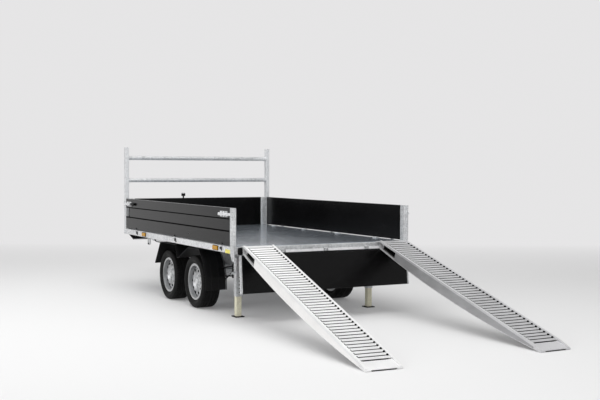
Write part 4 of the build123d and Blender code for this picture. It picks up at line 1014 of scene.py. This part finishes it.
# %% Rack rails and post caps
RACK_X, RAIL_HALF, TUBE_R, COLLAR_R = 3.113, 0.897, 0.024, 0.0275
spread = np.linspace(0, 1, 9)
swell = COLLAR_R - (COLLAR_R - TUBE_R) * (1 - np.cos(pi * spread)) / 2
profile = [(-RAIL_HALF, 0.0)] + [(-RAIL_HALF + 0.030 * s, r) for s, r in zip(spread, swell)]
profile += [(-y, r) for y, r in reversed(profile)]
rails = np.array([(RACK_X, 0, z) for z in (1.256, 1.518)])
rack_rails = turned_shape("rack_rail_tubes", profile, zero + rails, (0, 1, 0), 48)
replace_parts(fit(rack_rails, "galvanised", "bed"), "rack_rails")
beads = [(0, TUBE_R), (0.0, COLLAR_R + 0.002), (0.002, COLLAR_R + 0.0035)]
beads += [(0.005, COLLAR_R + 0.001), (0.006, TUBE_R)]
for out in (-1, 1):
    foot = rails + (0, out * (RAIL_HALF + 0.0005), 0)
    turned(f"rack_welds_{out + 1}", beads, foot, (0, -out, 0), 40, "galvanised", "bed")
    cap, cap_size = (RACK_X, out * 0.9185, 1.6415), (0.057, 0.040, 0.003)
    slab(f"rack_cap_{out + 1}", cap, cap_size, 0.006, 0.001, "black_plastic", "bed", SQUARE_AXES)
print("rack rails of", len(rack_rails.data.polygons), "faces")

# %% [markdown]
# ## Latches, front posts, plank joints, rings and reflectors
# Each board is held by an over-centre latch at both ends. The CAD has its body and hook; here it gets
# the rivets of its base, the catch on the post and, on the front ones, a black grip; dark plates and
# discs are painted shade in the slots of its base and the holes of its catch. A ring for a
# strap hangs behind each rear post, and yellow reflectors end the side rails.
# Square posts stand in the bed's front corners, and a strip of painted shade marks the groove at each joint
# of the planks.

# %% Latch trim
LATCH_Z, REAR_POST_X, FRONT_POST_X = 0.982, 0.090, 3.083
BASE_RIVETS_X, BASE_SLOT_SHADES_X = (0.165, 0.205, 0.285, 2.895, 2.965, 3.010), (0.185, 0.245, 2.935)
RIVET_HEAD = [(-0.0005, 0), (-0.0005, 0.0055), (0.0020, 0.0050), (0.0032, 0.0028), (0.0035, 0)]
for side, out in SIDES:
    body = f"side_{side}"
    pins = [(x, out * 0.9468, LATCH_Z + z) for x in BASE_RIVETS_X for z in (-0.019, 0.019)]
    turned(f"latch_rivets_{side}", RIVET_HEAD, pins, (0, out, 0), 14, "bolt_zinc", body)
    grip = (2.815, out * 0.9525, LATCH_Z)
    slab(f"latch_grip_{side}", grip, (0.112, 0.030, 0.014), 0.012, 0.005, "black_plastic", body)
    # Dark plates in the slots of the latch base are painted shade.
    shades = [(x, out * 0.9475, LATCH_Z + z) for x in BASE_SLOT_SHADES_X for z in (-0.0195, 0.0195)]
    slab(f"latch_slot_shades_{side}", shades, (0.024, 0.007, 0.0012), 0.003, 0.0003, "black_wire", body)
    catches = [(x, out * 0.9412, LATCH_Z) for x in (REAR_POST_X - 0.040, FRONT_POST_X + 0.030)]
    slab(f"latch_catch_{side}", catches, (0.046, 0.062, 0.0030), 0.006, 0.001, "bolt_zinc", "bed")
    # Dark discs on the catches are painted shade in their holes.
    hole_x = (REAR_POST_X - 0.052, FRONT_POST_X + 0.020)
    holes = [(x, out * 0.9428, LATCH_Z + z) for x in hole_x for z in (-0.022, 0.022)]
    turned(f"latch_hole_shades_{side}", disc(-0.0005, 0.0004, 0.006), holes, (0, out, 0), 14, "black_wire", "bed")
print("latches trimmed")

# %% Front corner posts, square tubes that stand inside the bed's front corners
for side, out in SIDES:
    post_at, post_size = (3.1100, out * 0.862, 0.8665), (0.056, 0.070, 0.347)
    slab(f"front_corner_post_{side}", post_at, post_size, 0.005, 0.002, "galvanised", "bed", SQUARE_AXES)
print("front corner posts stand")

# %% Joints between the planks of the side boards
JOINTS = ((0.828, 0.0135), (0.940, 0.0080))
for side, out in SIDES:
    for index, (z, width) in enumerate(JOINTS):
        name, joint_at = f"plank_joint_{side}_{index}", (1.5865, out * 0.9345, z)
        slab(name, joint_at, (2.978, width, 0.0016), 0.002, 0.0004, "deep_shade", f"side_{side}")
print("plank joints", 2 * len(JOINTS))

# %% Rings and reflectors
def hoop(radius, thick, turns=14):
    """The section of a round wire, for a ring turned about an axis."""
    angle = np.linspace(0, 2 * pi, turns, endpoint=False)
    return np.stack([thick * np.cos(angle), radius + thick * np.sin(angle)], 1)


RAIL_OUT, MARKER_HALF = 0.930, 0.055
rings = [(-0.0065, out * 0.932, 0.965) for out in (-1, 1)]
turned("post_rings", hoop(0.0145, 0.0033), rings, ALONG_Y, 40, "bolt_zinc", "bed", closed=True)
yellow = [(0.155, out * 0.9312, 0.642) for out in (-1, 1)]
slab("yellow_reflectors", yellow, (0.112, 0.034, 0.005), 0.004, 0.0015, "reflector_yellow", "bed")
marker_low, marker_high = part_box("side_markers")
for x in (marker_low.x - ZERO.x + MARKER_HALF, marker_high.x - ZERO.x - MARKER_HALF):
    for out in (-1, 1):
        name, rim_at = f"marker_rim_{x:.0f}_{out + 1}", (x, out * (RAIL_OUT + 0.0015), 0.6575)
        slab(name, rim_at, (0.130, 0.048, 0.004), 0.006, 0.0015, "black_plastic", "bed")
print("rings, reflectors and marker rims placed")

# %% [markdown]
# ## Hooks on the rails and brake rods
# Black bent wire hooks for ropes sit on the rail beside every hinge. Behind the rear wheels the
# brake rods run down from the axle to the stand, one across the other.

# %% Rope hooks, brake rods and bracket
HOOK_X, HOOK_Y, HOOK_Z, HOOK_WIDE, HOOK_TALL = (0.335, 1.505, 2.720), 0.9345, 0.662, 0.016, 0.013
ROD_Y, ROD_STEP, HOLDER_Y, BRACKET_Y = 0.690, 0.012, 0.702, 0.905
BRAKE_RODS = (
    ((0.818, 0.282), (0.555, 0.425)),
    ((0.818, 0.342), (0.532, 0.370)),
    ((0.769, 0.425), (0.556, 0.464)),
)
BRAKE_LEVER = ((0.545, 0.350), (0.545, 0.480), (0.455, 0.520))
BRACKET = ((2.335, 0.628), (2.335, 0.560), (2.395, 0.560), (2.395, 0.628))
turn = np.linspace(-0.3 * pi, 1.1 * pi, 12)
for side, out in SIDES:
    for index, x in enumerate(HOOK_X):
        bend_x, bend_z = x - 0.022 + HOOK_WIDE * np.cos(turn), HOOK_Z + HOOK_TALL * np.sin(turn)
        bend = np.stack([bend_x, 0 * turn + out * HOOK_Y, bend_z], 1)
        hook = np.vstack([bend, (x - 0.044, out * HOOK_Y, 0.640)])
        rod(f"rope_hook_{side}_{index}", hook, circle(0.0042, 10), "black_wire", "bed")
    for index, ends in enumerate(BRAKE_RODS):
        path = [(x, out * (ROD_Y + ROD_STEP * index), z) for x, z in ends]
        rod(f"brake_rod_{side}_{index}", path, circle(0.0065, 12), "black_wire", "chassis")
    holder = [(x, out * HOLDER_Y, z) for x, z in BRAKE_LEVER]
    rod(f"brake_lever_{side}", holder, circle(0.011, 14), "black_plastic", "chassis")
    bracket = [(x, out * BRACKET_Y, z) for x, z in BRACKET]
    rod(f"rail_bracket_{side}", bracket, circle(0.0075, 12), "bolt_zinc", "bed")
    sleeve_at = (2.348, out * BRACKET_Y, 0.560)
    turned(f"bracket_sleeve_{side}", disc(0.0, 0.034, 0.0105), sleeve_at, ALONG_X, 16, "black_plastic", "bed")
print("hooks and rods on both sides")

# %% [markdown]
# ## Jockey wheel, coupling and pump box
# The crank has a black knob, the coupling a rubber bellows on its shaft and a rubber grip, and a hand
# brake lever leans back from the housing. The pump box gets an overhanging lid with two clips.

# %% Jockey wheel trim
JOCKEY_AT, KNOB_AT, ROLLER_AT = (4.050, -0.192, 0), (4.135, -0.192, 0), (4.010, -0.192, 0.100)
dome = [(1.0325, 0.0), (1.0325, 0.0225), (1.036, 0.0262), (1.060, 0.0262)]
dome += [(1.060 + 0.0206 * sin(a), 0.0262 * cos(a)) for a in np.linspace(0.15, pi / 2, 8)]
turned("jockey_knob", dome, KNOB_AT, ALONG_Z, 32, "black_plastic", "chassis")
stem = [(0.941, 0.0), (0.941, 0.0125), (0.955, 0.0100), (1.034, 0.0100), (1.034, 0.0)]
turned("jockey_stem_sleeve", stem, KNOB_AT, ALONG_Z, 24, "black_plastic", "chassis")
collar = [(0.858, 0.0302), (0.858, 0.0335), (0.883, 0.0335), (0.886, 0.0300), (0.886, 0.009)]
turned("jockey_cap", collar, JOCKEY_AT, ALONG_Z, 40, "black_plastic", "chassis")
hub = [(-0.027, 0.0), (-0.027, 0.020), (-0.0255, 0.052), (0.0255, 0.052), (0.027, 0.020), (0.027, 0.0)]
turned("jockey_hub", hub, ROLLER_AT, ALONG_Y, 40, "galvanised", "jockey_roller")
clamp = [(4.050, -0.245, 0.500), (4.050, -0.300, 0.500)]
rod("jockey_clamp_screw", clamp, circle(0.006, 12), "bolt_zinc", "chassis", ALONG_Z)
handle = [(4.050, -0.298, 0.445), (4.050, -0.298, 0.555)]
rod("jockey_clamp_handle", handle, circle(0.005, 12), "bolt_zinc", "chassis")
print("jockey wheel trimmed")

# %% Coupling trim
SHAFT_Z, BELLOWS, LEVER_Y = 0.442, (4.464, 4.596), 0.090
wave = np.linspace(0, 1, 41)
bellows = np.stack([BELLOWS[0] + 0.132 * wave, 0.040 + 0.006 * np.cos(wave * 14 * pi)], 1)
bellows = np.vstack([(BELLOWS[0], 0.031), bellows, (BELLOWS[1], 0.031)])
turned("coupling_bellows", bellows, (0, 0, SHAFT_Z), ALONG_X, 40, "rubber", "chassis")
grip = [(4.612, 0, 0.512), (4.560, 0, 0.538), (4.525, 0, 0.556)]
rod("coupling_grip", grip, circle(0.0185, 18), "rubber", "chassis")
lever = [(4.400, LEVER_Y, 0.520), (4.330, LEVER_Y, 0.640), (4.235, LEVER_Y, 0.840)]
rod("hand_brake_lever", lever, circle(0.010, 14) * (1.4, 0.6), "bolt_zinc", "chassis")
grip = [(4.262, LEVER_Y, 0.783), (4.232, LEVER_Y, 0.846), (4.222, LEVER_Y, 0.868)]
rod("hand_brake_grip", grip, circle(0.0155, 16), "rubber", "chassis")
turned("hand_brake_boss", disc(0.0, 0.026, 0.024), (4.400, 0.068, 0.525), ALONG_Y, 28, "bolt_zinc", "chassis")
print("coupling trimmed")

# %% Pump box lid, clips and gland
OVERHANG = 0.012
box_low, box_high = (np.array(corner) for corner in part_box("pump_box"))
middle = (box_low + box_high) / 2
lid_at = (middle[0], middle[1], box_high[2] - 0.0145)
lid_size = (box_high[0] - box_low[0] + OVERHANG, box_high[1] - box_low[1] + OVERHANG, 0.030)
fit(plate("pump_lid", lid_at, lid_size, 0.024, 0.008), "black_plastic", "chassis")
clips = [(box_high[0] + 0.004, middle[1] + y, box_high[2] - 0.040) for y in (-0.15, 0.15)]
fit(plate("pump_clips", clips, (0.036, 0.056, 0.012), 0.006, 0.003, FACING_END), "bolt_zinc", "chassis")
gland = [(0.0, 0.0), (0.0, 0.014), (0.010, 0.014), (0.013, 0.010), (0.020, 0.010), (0.020, 0.0)]
glands = [(box_low[0] + 0.001, middle[1] + y, box_low[2] + 0.05) for y in (-0.16, -0.10)]
fit(turned_shape("pump_glands", gland, glands, (-1, 0, 0), 20), "black_plastic", "chassis")
print("pump box trimmed")

# %% [markdown]
# ## Deck, tailgate, lamps, ram and stands
# Rivets hold the deck along its sides and across its joints. The tailgate's lip has a rubber seal,
# the lamps have three panes each, a gland nut closes each stage of the ram, and every stand has a
# spring pin in its sleeve and a rubber pad under its foot.

# %% Deck rivets and joints
RIVET_STEP, SIDE_MARGIN, REAR_MARGIN, JOINT_MARGIN = 0.155, 0.014, 0.016, 0.02
deck_low, deck_high = (np.array(corner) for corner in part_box("deck_plate"))
joints = [deck_low[0] + (deck_high[0] - deck_low[0]) * part for part in (1 / 3, 2 / 3)]
for index, x in enumerate(joints):
    seam_size = (0.0022, deck_high[1] - deck_low[1] - 0.02, 0.0012)
    seam = plate(f"deck_seam_{index}", (x, ZERO.y, deck_high[2] + 0.0001), seam_size, 0.0008, 0.0004)
    fit(seam, "black_wire", "bed")
along = np.arange(deck_low[0] + 0.08, deck_high[0] - 0.05, RIVET_STEP)
dots = [(x, y, deck_high[2]) for x in along for y in (deck_low[1] + SIDE_MARGIN, deck_high[1] - SIDE_MARGIN)]
across = np.arange(deck_low[1] + 0.10, deck_high[1] - 0.05, RIVET_STEP)
joint_rows = [x + step for x in joints for step in (-JOINT_MARGIN, JOINT_MARGIN)]
dots += [(x, y, deck_high[2]) for x in joint_rows for y in across]
dots += [(deck_low[0] + REAR_MARGIN, y, deck_high[2]) for y in across]
head = [(-0.0004, 0), (-0.0004, 0.0060), (0.0007, 0.0052), (0.0013, 0.0030), (0.0015, 0)]
fit(turned_shape("deck_rivets", head, dots, ALONG_Z, 12), "deck_steel", "bed")
print(len(dots), "deck rivets")

# %% Tailgate seal, valance edge and lamp panes
GATE_LEAN = radians(5)
lip_low, lip_high = (np.array(corner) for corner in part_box("tailgate_lip"))
seal_at = ((lip_low[0] + lip_high[0]) / 2 - 0.0012, ZERO.y, lip_low[2] + 0.0075)
gate_axes = (ALONG_Y, (sin(GATE_LEAN), 0, cos(GATE_LEAN)), (cos(GATE_LEAN), 0, -sin(GATE_LEAN)))
fit(plate("gate_seal", seal_at, (1.700, 0.015, 0.0042), 0.002, 0.001, gate_axes), "rubber", "gate")
valance_low, valance_high = (np.array(corner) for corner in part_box("front_valance"))
edge_at = ((valance_low[0] + valance_high[0]) / 2, ZERO.y, valance_low[2] + 0.004)
fit(plate("valance_edge", edge_at, (1.660, 0.008, 0.008), 0.002, 0.001, FACING_END), "bolt_zinc", "bed")
LAMP_Y, LAMP_Z = 0.570, 0.485
PANES = ((-0.058, 0.060, "amber"), (0.002, 0.054, "lamp_red"), (0.060, 0.056, "lamp_red"))
for side, out in SIDES:
    frame_at, frame_size = (0.298, out * LAMP_Y, LAMP_Z), (0.196, 0.096, 0.008)
    slab(f"lamp_bezel_{side}", frame_at, frame_size, 0.010, 0.003, "black_plastic", "chassis", FACING_END)
    for index, (offset, width, finish) in enumerate(PANES):
        pane_at, pane_size = (0.2945, out * (LAMP_Y + offset), LAMP_Z), (width - 0.004, 0.078, 0.006)
        slab(f"lamp_pane_{side}_{index}", pane_at, pane_size, 0.006, 0.002, finish, "chassis", FACING_END)
print("seal, valance edge and", 2 * len(PANES), "panes")

# %% Gland nuts on the ram: body, distance along the axis, bore and outside radius
RAM_AT, RAM_TILT = np.array((1.470, 0, 0.350)), radians(22.329)
ram_axis = np.array((cos(RAM_TILT), 0, sin(RAM_TILT)))
GLANDS = (
    ("ram_barrel", 0.5004, 0.0470, 0.0575),
    ("ram_stage_1", 0.5204, 0.0378, 0.0475),
    ("ram_stage_2", 0.5404, 0.0288, 0.0385),
)
for body, reach, bore, outside in GLANDS:
    nut = [(-0.010, bore), (-0.010, outside), (-0.001, outside), (0.001, outside - 0.002), (0.001, bore)]
    turned(f"{body}_gland", nut, RAM_AT + ram_axis * reach, ram_axis, 40, "ram_steel", body, 30, closed=True)
print("gland nuts", len(GLANDS))

# %% Stand pins and foot pads
STAND_X, STAND_Y, SLEEVE_FACE, PIN_Z = 0.387, 0.724, 0.030, 0.415
SLEEVE_HOLES_Z = (0.235, 0.270, 0.305, 0.340, 0.375)
PIN = [(0.0, 0), (0.0, 0.013), (0.024, 0.013), (0.026, 0.007), (0.040, 0.006), (0.040, 0)]
for side, out in SIDES:
    stand_at = np.array((STAND_X, out * STAND_Y, 0))
    pad_at, pad_size = stand_at + (0, 0, 0.0048), (0.103, 0.093, 0.0088)
    slab(f"foot_pad_{side}", pad_at, pad_size, 0.004, 0.0015, "rubber", f"leg_{side}", SQUARE_AXES)
    pin_at = stand_at + (0, out * SLEEVE_FACE, PIN_Z)
    turned(f"stand_pin_{side}", PIN, pin_at, (0, out, 0), 20, "bolt_zinc", "chassis")
    pull, wire = pin_at + (0, out * 0.050, 0), hoop(0.013, 0.0022)
    turned(f"stand_ring_{side}", wire, pull, ALONG_X, 28, "bolt_zinc", "chassis", closed=True)
    # Dark discs on the sleeve are painted shade in its holes.
    holes = [stand_at + (-SLEEVE_FACE - 0.0003, 0, z) for z in SLEEVE_HOLES_Z]
    hole = disc(-0.0006, 0.0006, 0.0062)
    turned(f"sleeve_hole_shades_{side}", hole, holes, (-1, 0, 0), 16, "black_wire", "chassis")
print("stands trimmed")

# %% [markdown]
# ## Studio
# The photograph has a white cove, a floor that curves up into its wall, under very soft light. One
# swept surface makes it. Camera rays see part of it as plain light, so the backdrop stays pale while
# the floor still takes the trailer's shadow.

# %% Cove
FLOOR_HALF, COVE_RADIUS, COVE_FROM, WALL_TOP = 30.0, 6.0, 16.0, 30.0
view_flat = Vector((forward.x, forward.y, 0)).normalized()
sideways = Vector((-view_flat.y, view_flat.x, 0))
bend = np.linspace(0, pi / 2, 25)
bent = COVE_FROM + COVE_RADIUS * np.sin(bend)
reach = np.concatenate([[-FLOOR_HALF], bent, [COVE_FROM + COVE_RADIUS]])
rise = np.concatenate([[0], COVE_RADIUS * (1 - np.cos(bend)), [WALL_TOP]])
spans = np.array([-FLOOR_HALF, FLOOR_HALF])
grid = (
    reach[:, None, None] * np.array(view_flat)
    + spans[None, :, None] * np.array(sideways)
    + rise[:, None, None] * np.array((0, 0, 1))
)
cove = surface("cove", grid + np.array((0, 0, -0.0005)))
print("cove has", len(cove.data.polygons), "faces")

# %% Cove paint
PAINT, BACKDROP_GLOW, NEAR_SHARE = 0.80, (0.79, 0.785, 0.79), 0.15
FADE_FROM, FADE_TO = 3.0, 9.0
f = Finish("cove_paint")
kinds = [f.add("LightPath", {}, {}, output=f"Is {kind} Ray") for kind in ("Camera", "Glossy", "Transmission")]
seen = sum(kinds[1:], kinds[0]).clipped()
behind = f.offset_from(np.array(ZERO), np.array(view_flat)).between(FADE_FROM, FADE_TO)
glow = f.add("Emission", {}, {"Color": (*BACKDROP_GLOW, 1), "Strength": 1.0})
share = seen * (behind * (1 - NEAR_SHARE) + NEAR_SHARE)
f.finish(Roughness=0.9, Specular_IOR_Level=0.1, Base_Color=(PAINT, PAINT, PAINT))
mixed = f.add("MixShader", {}, {0: share, 1: Wire(f, f.shader.outputs[0]), 2: glow})
f.tree.links.new(mixed.socket, f.tree.nodes["Material Output"].inputs[0])
cove.data.materials.append(f.material)
print("cove paint mixed")

# %% Lights
world = bpy.data.worlds.new("studio")
bpy.context.scene.world = world
world.use_nodes = True
world.node_tree.nodes["Background"].inputs["Color"].default_value = (1.0, 1.0, 1.0, 1)
world.node_tree.nodes["Background"].inputs["Strength"].default_value = 0.50


def softbox(name, at, target, width, height, power):
    """An area lamp whose -Z axis points at a target."""
    data = bpy.data.lights.new(name, "AREA")
    data.shape, data.size, data.size_y, data.energy = "RECTANGLE", width, height, power
    lamp = bpy.data.objects.new(name, data)
    lamp.location = at
    lamp.rotation_euler = (Vector(target) - Vector(at)).to_track_quat("-Z", "Y").to_euler()
    bpy.context.scene.collection.objects.link(lamp)


middle = (0.4, 0, 0.6)
softbox("key_overhead", (-0.5, 1.5, 6.5), middle, 8.0, 6.0, 330)
softbox("left_wall", (-1.0, 8.0, 3.6), middle, 7.0, 4.0, 170)
softbox("behind_camera", (-10.0, 2.0, 4.0), middle, 5.0, 4.0, 200)
